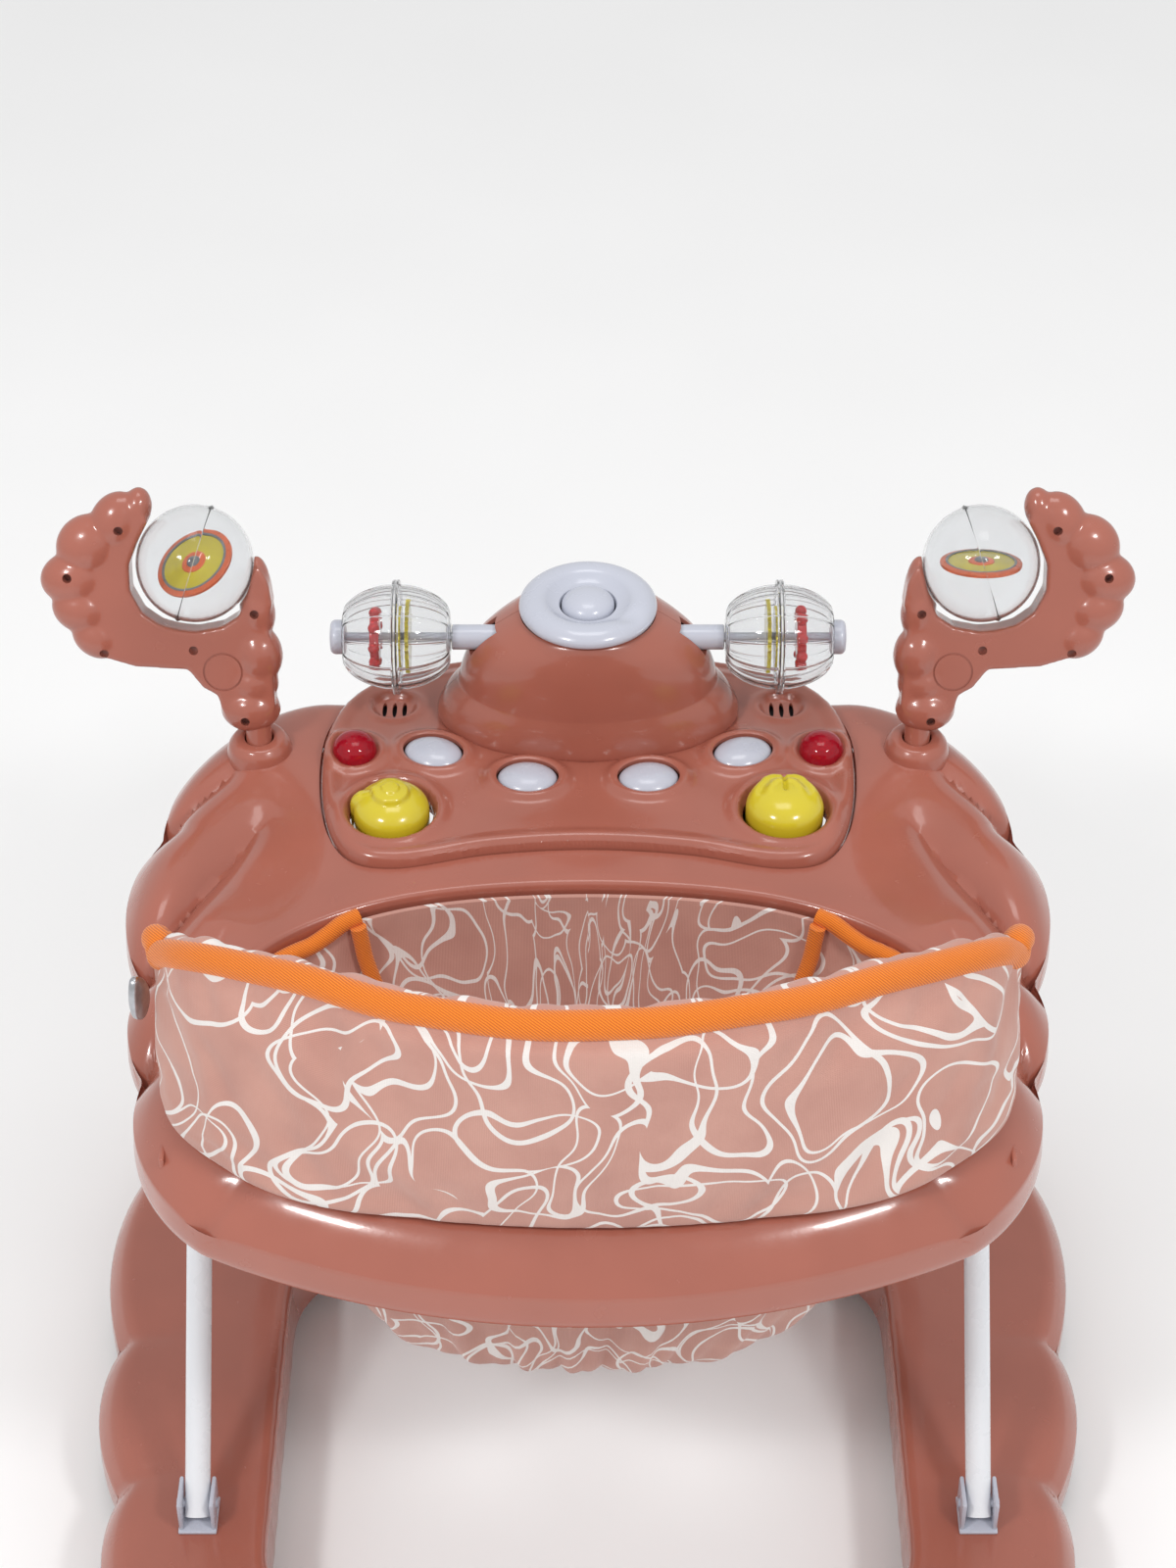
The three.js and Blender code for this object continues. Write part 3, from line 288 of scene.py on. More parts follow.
# %% [markdown]
# ## Materials
# The mouldings are glossy plastic. Real ones have a faint orange peel in their gloss, and a little
# unevenness in their colour, so both are made from noise on object coordinates.
# A clear coat over a softer base gives the sharp reflection of a studio lamp.

# %% Glossy mouldings
def shader(name):
    material = bpy.data.materials.new(name)
    material.use_nodes = True
    nodes = material.node_tree.nodes
    return material, nodes, material.node_tree.links, nodes["Principled BSDF"]


def srgb(red, green, blue):
    values = [v / 255 for v in (red, green, blue)]
    return [v / 12.92 if v < 0.04045 else ((v + 0.055) / 1.055) ** 2.4 for v in values] + [1.0]


def noise(nodes, links, scale, detail=2.0, where=None):
    made = nodes.new("ShaderNodeTexNoise")
    made.inputs["Scale"].default_value = scale
    made.inputs["Detail"].default_value = detail
    if where is None:
        where = nodes.new("ShaderNodeTexCoord").outputs["Object"]
    links.new(where, made.inputs["Vector"])
    return made.outputs["Fac"]


def ramp(nodes, links, factor, *stops):
    made = nodes.new("ShaderNodeValToRGB")
    while len(made.color_ramp.elements) < len(stops):
        made.color_ramp.elements.new(0.5)
    for element, (place, colour) in zip(made.color_ramp.elements, stops):
        element.position = place
        element.color = colour
    links.new(factor, made.inputs["Fac"])
    return made.outputs["Color"]


def bump(nodes, links, height, bsdf, strength, distance=0.5 * MM):
    made = nodes.new("ShaderNodeBump")
    made.inputs["Strength"].default_value = strength
    made.inputs["Distance"].default_value = distance
    links.new(height, made.inputs["Height"])
    links.new(made.outputs["Normal"], bsdf.inputs["Normal"])


def moulded(name, colour, roughness=0.22, peel=0.05, coat=0.35, spread=0.05):
    material, nodes, links, bsdf = shader(name)
    darker = [v * (1 - spread) for v in colour[:3]] + [1]
    lighter = [min(1, v * (1 + spread)) for v in colour[:3]] + [1]
    cloud = noise(nodes, links, 14)
    links.new(ramp(nodes, links, cloud, (0.3, darker), (0.7, lighter)), bsdf.inputs["Base Color"])
    handled = noise(nodes, links, 60, 4)
    grey = lambda v: [v, v, v, 1]
    rough = ramp(nodes, links, handled, (0.35, grey(roughness * 0.8)), (0.75, grey(roughness * 1.35)))
    links.new(rough, bsdf.inputs["Roughness"])
    bsdf.inputs["Coat Weight"].default_value = coat
    bsdf.inputs["Coat Roughness"].default_value = 0.06
    bump(nodes, links, noise(nodes, links, 420, 1), bsdf, peel)
    return material


TERRACOTTA = moulded("terracotta_plastic", srgb(163, 95, 79), spread=0.06)
WHITE = moulded("white_plastic", srgb(187, 190, 202), roughness=0.25, spread=0.02)
YELLOW = moulded("yellow_plastic", srgb(205, 188, 40), roughness=0.2)
RED = moulded("red_plastic", srgb(205, 28, 32), roughness=0.2)
GREY = moulded("grey_plastic", srgb(120, 122, 124), roughness=0.3)
BOARD = moulded("board_green", srgb(46, 104, 62), roughness=0.4)
# This black colours the loudspeaker, and also the sheet of painted shade under its slots.
BLACK = moulded("speaker_black", srgb(36, 36, 38), roughness=0.6, coat=0)
RUBBER = moulded("black_rubber", srgb(40, 40, 42), roughness=0.75, coat=0, peel=0.4)
TREAD = moulded("wheel_tread", srgb(58, 58, 62), roughness=0.55, coat=0, peel=0.3)
print(len(bpy.data.materials), "materials so far")

# %% [markdown]
# Clear plastic passes light but keeps its reflection. A thin moulded shell doesn't bend light much,
# so a low index keeps what is inside it readable, and its colour is an almost neutral white.

# %% Clear and translucent plastic, metal
def translucent(name, colour, roughness, index, weight):
    material, nodes, links, bsdf = shader(name)
    cloud = noise(nodes, links, 30)
    tint = [v * 0.97 for v in colour[:3]] + [1]
    links.new(ramp(nodes, links, cloud, (0.3, tint), (0.7, colour)), bsdf.inputs["Base Color"])
    bsdf.inputs["Roughness"].default_value = roughness
    bsdf.inputs["IOR"].default_value = index
    bsdf.inputs["Transmission Weight"].default_value = weight
    bump(nodes, links, noise(nodes, links, 200, 1), bsdf, 0.02)
    return material


CLEAR = translucent("clear_plastic", srgb(247, 248, 249), 0.03, 1.25, 0.98)
LENS = translucent("red_lens", srgb(205, 22, 50), 0.08, 1.4, 0.6)
TUBE = moulded("painted_tube", srgb(226, 228, 232), roughness=0.3, peel=0.15, spread=0.02)


def brushed(name, colour):
    material, nodes, links, bsdf = shader(name)
    grain = noise(nodes, links, 250, 4)
    dark = [v * 0.8 for v in colour[:3]] + [1]
    links.new(ramp(nodes, links, grain, (0.3, dark), (0.7, colour)), bsdf.inputs["Base Color"])
    bsdf.inputs["Metallic"].default_value = 1.0
    bsdf.inputs["Roughness"].default_value = 0.3
    bump(nodes, links, grain, bsdf, 0.1, 0.1 * MM)
    return material


STEEL = brushed("steel_pin", srgb(190, 192, 196))

# %% [markdown]
# The seat's fabric is a peach plain weave printed with white ribbons that loop and cross. Each layer of
# the print draws a ring round every point of a scattered pattern. A slow noise bends the rings, and three
# such layers cross as the ribbons do. The pattern follows the cloth round the seat.
# The binding is orange twill, whose diagonal ribs are a wave on object coordinates.

# %% Fabric
def mathed(nodes, links, operation, *values):
    made = nodes.new("ShaderNodeMath")
    made.operation = operation
    for socket, value in zip(made.inputs, values):
        if isinstance(value, (int, float)):
            socket.default_value = value
        else:
            links.new(value, socket)
    return made.outputs[0]


def weave(nodes, links, coordinates, pitch):
    heights = []
    for direction in ("X", "Z"):
        wave = nodes.new("ShaderNodeTexWave")
        wave.bands_direction = direction
        wave.inputs["Scale"].default_value = 0.314 / pitch
        links.new(coordinates, wave.inputs["Vector"])
        heights.append(wave.outputs["Fac"])
    return mathed(nodes, links, "ADD", *heights)


def rings(nodes, links, flat, cell, offset, reach, width):
    """Closed lines of even width, one round each point of a scattered pattern."""
    mapping = nodes.new("ShaderNodeMapping")
    mapping.inputs["Location"].default_value = offset
    mapping.inputs["Scale"].default_value = (1 / cell[0], 1 / cell[1], 1)
    links.new(flat, mapping.inputs["Vector"])
    scatter = nodes.new("ShaderNodeTexVoronoi")
    scatter.voronoi_dimensions = "2D"
    scatter.inputs["Scale"].default_value = 1
    scatter.inputs["Randomness"].default_value = 0.85
    links.new(mapping.outputs["Vector"], scatter.inputs["Vector"])
    gap = mathed(nodes, links, "SUBTRACT", scatter.outputs["Distance"], reach)
    return mathed(nodes, links, "LESS_THAN", mathed(nodes, links, "ABSOLUTE", gap, 0), width)


def wrapped(nodes, links, where):
    """Places on the cloth as if it were unrolled: the way round the seat, and the height."""
    parts = nodes.new("ShaderNodeSeparateXYZ")
    links.new(where, parts.inputs[0])
    behind = mathed(nodes, links, "SUBTRACT", -0.02, parts.outputs["Y"])
    angle = mathed(nodes, links, "ARCTAN2", parts.outputs["X"], behind)
    flat = nodes.new("ShaderNodeCombineXYZ")
    links.new(mathed(nodes, links, "MULTIPLY", angle, 0.22), flat.inputs["X"])
    links.new(parts.outputs["Z"], flat.inputs["Y"])
    wander = nodes.new("ShaderNodeTexNoise")
    wander.inputs["Scale"].default_value = 17
    wander.inputs["Detail"].default_value = 0.5
    links.new(flat.outputs[0], wander.inputs["Vector"])
    shift = nodes.new("ShaderNodeVectorMath")
    shift.operation = "MULTIPLY_ADD"
    shift.inputs[1].default_value = (0.085, 0.085, 0)
    links.new(wander.outputs["Color"], shift.inputs[0])
    links.new(flat.outputs[0], shift.inputs[2])
    return shift.outputs[0]


def printed_cloth():
    material, nodes, links, bsdf = shader("seat_fabric")
    where = nodes.new("ShaderNodeTexCoord").outputs["Object"]
    flat = wrapped(nodes, links, where)
    lines = rings(nodes, links, flat, (0.062, 0.088), (0.0, 0.0, 0.0), 0.40, 0.021)
    for cell, offset, reach, width in (
        ((0.050, 0.105), (0.4, 0.7, 0), 0.42, 0.019),
        ((0.085, 0.060), (5.3, 2.2, 0), 0.38, 0.018),
    ):
        lines = mathed(
            nodes, links, "MAXIMUM", lines, rings(nodes, links, flat, cell, offset, reach, width)
        )
    cloud = noise(nodes, links, 25, 3, where)
    peach = ramp(nodes, links, cloud, (0.3, srgb(184, 133, 120)), (0.7, srgb(197, 147, 133)))
    mix = nodes.new("ShaderNodeMix")
    mix.data_type = "RGBA"
    links.new(lines, mix.inputs["Factor"])
    links.new(peach, mix.inputs[6])
    mix.inputs[7].default_value = srgb(228, 222, 218)
    links.new(mix.outputs[2], bsdf.inputs["Base Color"])
    bsdf.inputs["Roughness"].default_value = 0.8
    bsdf.inputs["Sheen Weight"].default_value = 0.25
    bump(nodes, links, weave(nodes, links, where, 0.9 * MM), bsdf, 0.35, 0.3 * MM)
    return material


def twill():
    material, nodes, links, bsdf = shader("orange_binding")
    where = nodes.new("ShaderNodeTexCoord").outputs["Object"]
    wave = nodes.new("ShaderNodeTexWave")
    wave.bands_direction = "DIAGONAL"
    wave.inputs["Scale"].default_value = 0.314 / (1.1 * MM)
    wave.inputs["Distortion"].default_value = 1.2
    links.new(where, wave.inputs["Vector"])
    ribs = wave.outputs["Fac"]
    colour = ramp(nodes, links, ribs, (0.1, srgb(196, 92, 10)), (0.8, srgb(236, 132, 28)))
    links.new(colour, bsdf.inputs["Base Color"])
    bsdf.inputs["Roughness"].default_value = 0.85
    bsdf.inputs["Sheen Weight"].default_value = 0.2
    bump(nodes, links, ribs, bsdf, 0.6, 0.4 * MM)
    return material


FABRIC = printed_cloth()
BINDING = twill()


def dressed(piece, material, slot, body, *nodes):
    """Gives a piece its material and the body it rides on, and hides the nodes it stands for. The slot is not
    used.
    """
    piece.data.materials.clear()
    piece.data.materials.append(material)
    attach(piece, body)
    if nodes:
        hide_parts(*nodes)
    return piece


print("fabric and binding ready")

# %% [markdown]
# ## Camera and studio
# The walker is seen from behind the seat, from above, as a parent stands over it. The camera comes first,
# because everything after it is judged through it. A pale floor and three large soft lamps are the studio.

# %% Camera, floor and lamps
VIEW_HEIGHT = math.radians(40)
VIEW_DISTANCE = 2.0
AIM = Vector((0, 0.15, TRAY_TOP))


def studio():
    data = bpy.data.cameras.new("camera")
    data.sensor_width = 36
    data.lens = 72.9
    camera = bpy.data.objects.new("camera", data)
    bpy.context.collection.objects.link(camera)
    back = Vector((0, -math.cos(VIEW_HEIGHT), math.sin(VIEW_HEIGHT)))
    camera.location = AIM + back * VIEW_DISTANCE
    camera.rotation_euler = (-back).to_track_quat("-Z", "Y").to_euler()
    bpy.context.scene.camera = camera

    deselect()
    bpy.ops.mesh.primitive_plane_add(size=24, location=(0, 0, -0.5 * MM))
    floor = bpy.context.active_object
    floor.name = "floor"
    material, nodes, links, bsdf = shader("studio_floor")
    grey = lambda v: [v, v, v, 1]
    links.new(
        ramp(nodes, links, noise(nodes, links, 3), (0.3, grey(0.93)), (0.7, grey(0.95))),
        bsdf.inputs["Base Color"]
    )
    bsdf.inputs["Roughness"].default_value = 0.7
    floor.data.materials.append(material)

    lamps = (
        # name, place, width, power
        ("key", (-1.25, -1.35, 2.3), 0.42, 20),
        ("fill", (1.25, -1.35, 2.3), 0.42, 18),
        ("top", (0.0, 0.3, 3.0), 1.2, 10),
    )
    for name, place, width, power in lamps:
        light = bpy.data.lights.new(name, "AREA")
        light.shape = "RECTANGLE"
        light.size = width
        light.size_y = 0.7 * width
        light.energy = power
        lamp = bpy.data.objects.new(name, light)
        bpy.context.collection.objects.link(lamp)
        lamp.location = place
        lamp.rotation_euler = (AIM - Vector(place)).to_track_quat("-Z", "Y").to_euler()
    world = bpy.data.worlds.new("studio")
    bpy.context.scene.world = world
    world.use_nodes = True
    background = world.node_tree.nodes["Background"]
    background.inputs["Color"].default_value = (1, 1, 1, 1)
    background.inputs["Strength"].default_value = 0.72
    bpy.context.scene.view_settings.view_transform = "Standard"


studio()
print("camera at", [round(v, 3) for v in bpy.context.scene.camera.location])

# %% [markdown]
# ## Lobed mouldings
# The tray and the base share a cloud-like outline: a chain of arcs that meet in small valleys.
# Each is formed as one sheet from its inner hole to its outline, rolled down at the edge,
# with a crease that runs inwards from every valley, and then given its wall by Solidify.

# %% The cloud outline
def arc(start, end, bulge, count):
    start, end = Vector(start), Vector(end)
    half = (end - start).length / 2
    along = (end - start).normalized()
    out = Vector((-along.y, along.x))
    radius = (half**2 + bulge**2) / (2 * bulge)
    centre = (start + end) / 2 + out * (bulge - radius)
    reach = math.asin(half / radius)
    turns = [-reach + 2 * reach * i / count for i in range(count)]
    return [centre + along * (radius * math.sin(t)) + out * (radius * math.cos(t)) for t in turns]


def cloud(front, lobes, rear_bulge, count=60):
    """The outline as an array of points, from the front lobe round by the right."""
    right = [front[0]] + [end for end, _ in lobes]
    bulges = [bulge for _, bulge in lobes]
    points = arc((-right[0][0], right[0][1]), right[0], front[1], count)
    for start, end, bulge in zip(right, right[1:], bulges):
        points += arc(start, end, bulge, count)
    points += arc(right[-1], (-right[-1][0], right[-1][1]), rear_bulge, count)
    for start, end, bulge in zip(right[::-1], right[-2::-1], bulges[::-1]):
        points += arc((-start[0], start[1]), (-end[0], end[1]), bulge, count)
    return np.array([[p.x, p.y] for p in points])


def reach_of(outline, centre, angle):
    """How far the outline lies from centre in each direction."""
    offset = outline - np.array(centre)
    bearing = np.arctan2(offset[:, 1], offset[:, 0])
    order = np.argsort(bearing)
    return np.interp(angle, bearing[order], np.hypot(*offset[order].T), period=2 * np.pi)


def near(x, y, outline):
    """Each point's distance to a dense outline."""
    best = np.full(x.shape, np.inf)
    for px, py in outline:
        best = np.minimum(best, (x - px) ** 2 + (y - py) ** 2)
    return np.sqrt(best)


def swell(t):
    t = np.clip(t, 0, 1)
    return t * t * (3 - 2 * t)


def creased(x, y, valley, end, depth, width):
    """A crease that runs from a valley inwards to its end, and dies away there."""
    start = np.array(valley, dtype=float)
    along = np.array(end, dtype=float) - start
    length = np.hypot(*along)
    share = np.clip(((x - start[0]) * along[0] + (y - start[1]) * along[1]) / length**2, 0, 1)
    away = np.hypot(x - start[0] - share * along[0], y - start[1] - share * along[1])
    return depth * (1 - share) ** 0.6 * np.exp(-away / width)


TRAY_FRONT = ((156, 249), 50)
TRAY_LOBES = [((268, 129), 36), ((267, 0), 16), ((258, -82), 9), ((214, -198), 18)]
TRAY_OUTLINE = cloud(TRAY_FRONT, TRAY_LOBES, 52)
HOLE = mirrored_loop(
    [
        (0, 56), (80, 50), (140, 33), (190, 0), (215, -45), (221, -95), (205, -145), (150, -185),
        (75, -203), (0, -208)
    ],
    400,
)
HOLE_CENTRE = (0, -76)
POST = Vector((209, 183, 427))
CREASES = [
    # valley on the outline, where the crease ends, depth, width
    ((156, 249), (120, 268), 13, 9),
    ((268, 129), (218, 172), 23, 10),
    ((267, 0), (199, 132), 24, 11),
    ((258, -82), (214, 20), 18, 10),
    ((214, -198), (180, -180), 11, 9),
]


def tray_height(x, y, to_edge):
    """Height of the tray's upper face, in millimetres above its rim's lowest point."""
    side = np.abs(x)
    roll = 40 - 22 * swell((y - 190) / 60)
    height = -27 * np.clip(1 - to_edge / roll, 0, 1) ** 2.3
    for valley, end, depth, width in CREASES:
        height -= creased(side, y, valley, end, depth, width)
    dish = swell(1.35 - np.hypot((side - 203) / 34, (y - 92) / 62))
    height -= 4.5 * dish
    height += 3.5 * np.exp(-(((side - 209) / 34) ** 2) - ((y - 183) / 34) ** 2)
    return height


LIP = [(1.5, -20), (0.4, -12), (0, -6), (0.5, -2.4), (1.8, -0.7), (4, 0)]
SKIRT = [(0.3, -31), (0.8, -38), (1.2, -44), (1.0, -48), (0.2, -50)]


def tray_sheet(u, v, stations=64):
    angle = 2 * np.pi * (u - 0.5)
    inner = reach_of(HOLE, HOLE_CENTRE, angle)
    outer = reach_of(TRAY_OUTLINE, HOLE_CENTRE, angle)
    step = np.rint(v * (stations - 1)).astype(int)
    deck = stations - len(LIP) - len(SKIRT)
    share = 1 - (1 - np.clip((step - len(LIP) + 1) / deck, 0, 1)) ** 1.3
    radius = inner + LIP[-1][0] + share * (outer - inner - LIP[-1][0])
    x = HOLE_CENTRE[0] + radius * np.cos(angle)
    y = HOLE_CENTRE[1] + radius * np.sin(angle)
    height = tray_height(x, y, outer - radius)
    for i, (out, drop) in enumerate(LIP):
        radius = np.where(step == i, inner + out, radius)
        height = np.where(step == i, drop, height)
    for i, (out, drop) in enumerate(SKIRT):
        at = stations - len(SKIRT) + i
        radius = np.where(step == at, outer + out, radius)
        height = np.where(step == at, drop, height)
    x = HOLE_CENTRE[0] + radius * np.cos(angle)
    y = HOLE_CENTRE[1] + radius * np.sin(angle)
    return x * MM, y * MM, TRAY_TOP + height * MM


PANEL_HALF = [
    (0, 88), (60, 83), (118, 70), (150, 82), (166, 130), (166, 200), (140, 246), (80, 270), (0, 278)
]
PANEL = mirrored_loop(PANEL_HALF, 360)


def prism(name, outline, low, high, grow=0.0):
    """An upright block with this outline, in millimetres, for cutting."""
    centre = outline.mean(axis=0)
    deselect()
    bpy.ops.mesh.primitive_circle_add(vertices=len(outline), fill_type="NGON")
    piece = bpy.context.active_object
    piece.name = name
    for vertex, point in zip(piece.data.vertices, outline):
        out = (point - centre) / np.hypot(*(point - centre))
        x, y = point + out * grow
        vertex.co = (x * MM, y * MM, low * MM)
    raise_by = {"value": (0, 0, (high - low) * MM)}
    edit(
        piece,
        lambda: bpy.ops.mesh.extrude_region_move(TRANSFORM_OT_translate=raise_by),
        lambda: bpy.ops.mesh.select_all(action="SELECT"),
        lambda: bpy.ops.mesh.normals_make_consistent(inside=False),
    )
    return piece


TOP = TRAY_TOP / MM
tray = weld(formed("tray_moulding", 440, 63, tray_sheet))
apply(tray, "SOLIDIFY", thickness=2.6 * MM, offset=-1)
carve(tray, prism("panel_cut", PANEL, TOP - 30, TOP + 30, 1.2))
smooth(tray, 40)
dressed(tray, TERRACOTTA, "shell", "tray", "upper_tray")
print("tray", len(tray.data.polygons), "faces")

# %% Collars, ears and slotted plates under the tray


def brick(name, low, high, rounding=1.0):
    """A box between two corners in millimetres, with its edges rounded."""
    deselect()
    size = [(b - a) * MM for a, b in zip(low, high)]
    centre = [(a + b) / 2 * MM for a, b in zip(low, high)]
    bpy.ops.mesh.primitive_cube_add(size=1, location=centre)
    piece = bpy.context.active_object
    piece.scale = size
    settle(piece)
    piece.name = name
    if rounding:
        apply(piece, "BEVEL", width=rounding * MM, segments=2)
    return smooth(piece)


def rod(name, radius, start, end, sides=24):
    """A plain round bar between two points in millimetres."""
    start, end = Vector(start) * MM, Vector(end) * MM
    deselect()
    bpy.ops.mesh.primitive_cylinder_add(vertices=sides, radius=radius * MM, depth=(end - start).length)
    piece = bpy.context.active_object
    piece.name = name
    piece.rotation_euler = (end - start).to_track_quat("Z", "Y").to_euler()
    piece.location = (start + end) / 2
    return smooth(settle(piece))


def slotted_plate(name, side, slot_z, low, high):
    x = side * 142
    plate = brick(name, (x - 2.5, 102.5, low), (x + 2.5, 246.5, high), 0.8)
    return carve(plate, brick("slot", (x - 9, 108.5, slot_z - 8.4), (x + 9, 243.5, slot_z + 8.4), 0))


def tray_underside():
    pieces = []
    for side in (-1, 1):
        pieces.append(slotted_plate("plate", side, 373, 358.6, TOP - 8))
        for x in (212.5, 236.5):
            low, high = sorted((side * x, side * (x + 3)))
            pieces.append(brick("ear", (low, -162, 364), (high, -138, TOP - 12), 1))
        pieces.append(rod("pin", 3, (side * 213, -150, 373), (side * 239, -150, 373)))
    for x in (91.5, 117.5):
        pieces.append(brick("cheek", (x, 71, 381), (x + 3, 85, TOP - 4), 1))
    pieces.append(rod("pin", 2.5, (92, 78, 387), (120, 78, 387)))
    ledge = prism("panel_ledge", PANEL, TOP - 12, TOP - 9, 3)
    for side in (-1, 1):
        carve(ledge, rod("well", 30, (side * 122, 117, TOP - 20), (side * 122, 117, TOP), 48))
    pieces.append(ledge)
    return joined("tray_underside", *pieces)


dressed(tray_underside(), TERRACOTTA, "shell", "tray")
for side, word in ((-1, "left"), (1, "right")):
    collar = turned(
        "tray_collar_" + word,
        [(9, -16), (9, 0.5), (11, 1.2), (16, 0.6), (19.5, -4), (22, -14), (20, -16), (9, -16)],
        at=(side * POST.x * MM, POST.y * MM, POST.z * MM - 1 * MM),
        softness=1.6,
    )
    dressed(collar, TERRACOTTA, "shell", "tray")
print("under the tray done")

# %% [markdown]
# ## The toy panel
# The panel is a height field as well. Every button has a soft raised ring round its hole, the two large
# buttons sit in wells, and a rounded border runs round the edge. Each of these is one smooth function of
# the distance to an oval, and the surface is simply their sum.

# %% Panel surface
PANEL_POLE = (0, 178)
PANEL_LEVEL = PANEL_TOP / MM


def oval(x, y, centre, half, turned_by=0.0):
    """Distance outside an oval, negative within it, in millimetres."""
    c, s = math.cos(math.radians(turned_by)), math.sin(math.radians(turned_by))
    across = (x - centre[0]) * c + (y - centre[1]) * s
    along = -(x - centre[0]) * s + (y - centre[1]) * c
    return (np.hypot(across / half[0], along / half[1]) - 1) * min(half)


WHITE_HALF = (19, 15)
WHITE_PLACES = {"inner": ((38, 147), 4), "outer": ((98, 172), 20)}
SHAPED_PLACE = (122, 117)
LAMP_PLACE = (148, 174)
SPEAKER_PLACE = (125, 222)


def panel_height(x, y, to_edge):
    side = np.abs(x)
    height = 2.6 * swell((15 - to_edge) / 9)
    height -= 5.5 * np.clip(1 - to_edge / 7, 0, 1) ** 2.4
    for place, angle in WHITE_PLACES.values():
        away = oval(side, y, place, WHITE_HALF, angle)
        height += 3.2 * np.exp(-(((away - 3) / 4) ** 2)) + 1.6 * np.exp(
            -((np.maximum(away - 3, 0) / 10) ** 2)
        )
    away = oval(side, y, SHAPED_PLACE, (29, 29))
    height += 3.4 * np.exp(-(((away - 2) / 5) ** 2)) - 5 * swell(-away / 3)
    away = oval(side, y, LAMP_PLACE, (15, 15))
    height += 3.2 * np.exp(-(((away - 3) / 3.5) ** 2))
    away = oval(side, y, SPEAKER_PLACE, (16, 14))
    height += 1.2 * np.exp(-(((away - 1) / 3) ** 2)) - 4 * swell(-away / 5)
    return height


PANEL_SKIRT = [(-0.2, -5.8), (0, -8), (0, -11)]


def panel_sheet(u, v, stations=112):
    angle = 2 * np.pi * (u - 0.5)
    outer = reach_of(PANEL, PANEL_POLE, angle)
    step = np.rint(v * (stations - 1)).astype(int)
    deck = stations - len(PANEL_SKIRT)
    radius = 4 + np.clip(step / deck, 0, 1) ** 0.9 * (outer - 4.3)
    x = PANEL_POLE[0] + radius * np.cos(angle)
    y = PANEL_POLE[1] + radius * np.sin(angle)
    height = panel_height(x, y, near(x, y, PANEL))
    for i, (out, drop) in enumerate(PANEL_SKIRT):
        radius = np.where(step == deck + i, outer + out, radius)
        height = np.where(step == deck + i, drop, height)
    x = PANEL_POLE[0] + radius * np.cos(angle)
    y = PANEL_POLE[1] + radius * np.sin(angle)
    return x * MM, y * MM, PANEL_TOP + height * MM


def oval_outline(centre, half, turned_by=0.0, count=48, grow=0.0):
    angle = np.linspace(0, 2 * np.pi, count, endpoint=False)
    c, s = math.cos(math.radians(turned_by)), math.sin(math.radians(turned_by))
    across, along = (half[0] + grow) * np.cos(angle), (half[1] + grow) * np.sin(angle)
    return np.stack([centre[0] + across * c - along * s, centre[1] + across * s + along * c], axis=1)


panel = weld(formed("toy_panel_moulding", 560, 111, panel_sheet))
apply(panel, "SOLIDIFY", thickness=2.4 * MM, offset=-1)
holes = []
for side in (-1, 1):
    for place, angle in WHITE_PLACES.values():
        outline = oval_outline((side * place[0], place[1]), WHITE_HALF, side * angle, grow=0.7)
        holes.append(prism("hole", outline, PANEL_LEVEL - 12, PANEL_LEVEL + 12))
    outline = oval_outline((side * SHAPED_PLACE[0], SHAPED_PLACE[1]), (26, 26))
    holes.append(prism("hole", outline, PANEL_LEVEL - 14, PANEL_LEVEL + 12))
    for slot in (-1, 0, 1):
        outline = oval_outline(
            (side * SPEAKER_PLACE[0] + slot * 6.4, SPEAKER_PLACE[1]), (1.5, 7.5), count=20
        )
        holes.append(prism("slot", outline, PANEL_LEVEL - 14, PANEL_LEVEL + 12))
carve(panel, joined("holes", *holes))
smooth(panel, 40)
dressed(panel, TERRACOTTA, "shell", "tray", "toy_panel")
print("panel", len(panel.data.polygons), "faces")

# %% [markdown]
# ## Buttons, lamps, and a black sheet of painted shade under the loudspeaker slots
# A push button is a dome on an oval wall. Forming it from its middle outwards keeps its edge round,
# and a thin dark gap to the panel comes from the hole being a little larger than the button.

# %% Push buttons
def domed(name, outline_of, height_of, base, rings=22, count=72):
    """A closed top over an outline: height_of(share, angle) in millimetres above base."""

    def surface(u, v):
        angle = 2 * np.pi * u
        share = np.clip(v * (rings + 3) / rings, 0, 1)
        reach = outline_of(angle)
        height = np.where(
            v * (rings + 3) > rings + 0.5, -12.0 * (v * (rings + 3) - rings) / 3,
            height_of(share, angle)
        )
        return reach * share * np.cos(angle) * MM, reach * share * np.sin(angle) * MM, base + height * MM

    return smooth(weld(formed(name, count, rings + 3, surface)), 50)


def white_button(name, side, place, angle):
    def reach(a):
        return 1 / np.sqrt((np.cos(a) / WHITE_HALF[0]) ** 2 + (np.sin(a) / WHITE_HALF[1]) ** 2)

    def height(s, a):
        return 5.6 * (1 - s**2.6) ** 0.62 + 1.4 * (1 - s * s)

    piece = domed(name, reach, height, PANEL_TOP + 0.6 * MM)
    turn(piece, Matrix.Rotation(math.radians(side * angle), 4, "Z"))
    return turn(piece, Matrix.Translation((side * place[0] * MM, place[1] * MM, 0)))


def bump_at(a, middle_degrees, width):
    away = np.abs((a - math.radians(middle_degrees) + np.pi) % (2 * np.pi) - np.pi)
    return np.exp(-((away / math.radians(width)) ** 4))


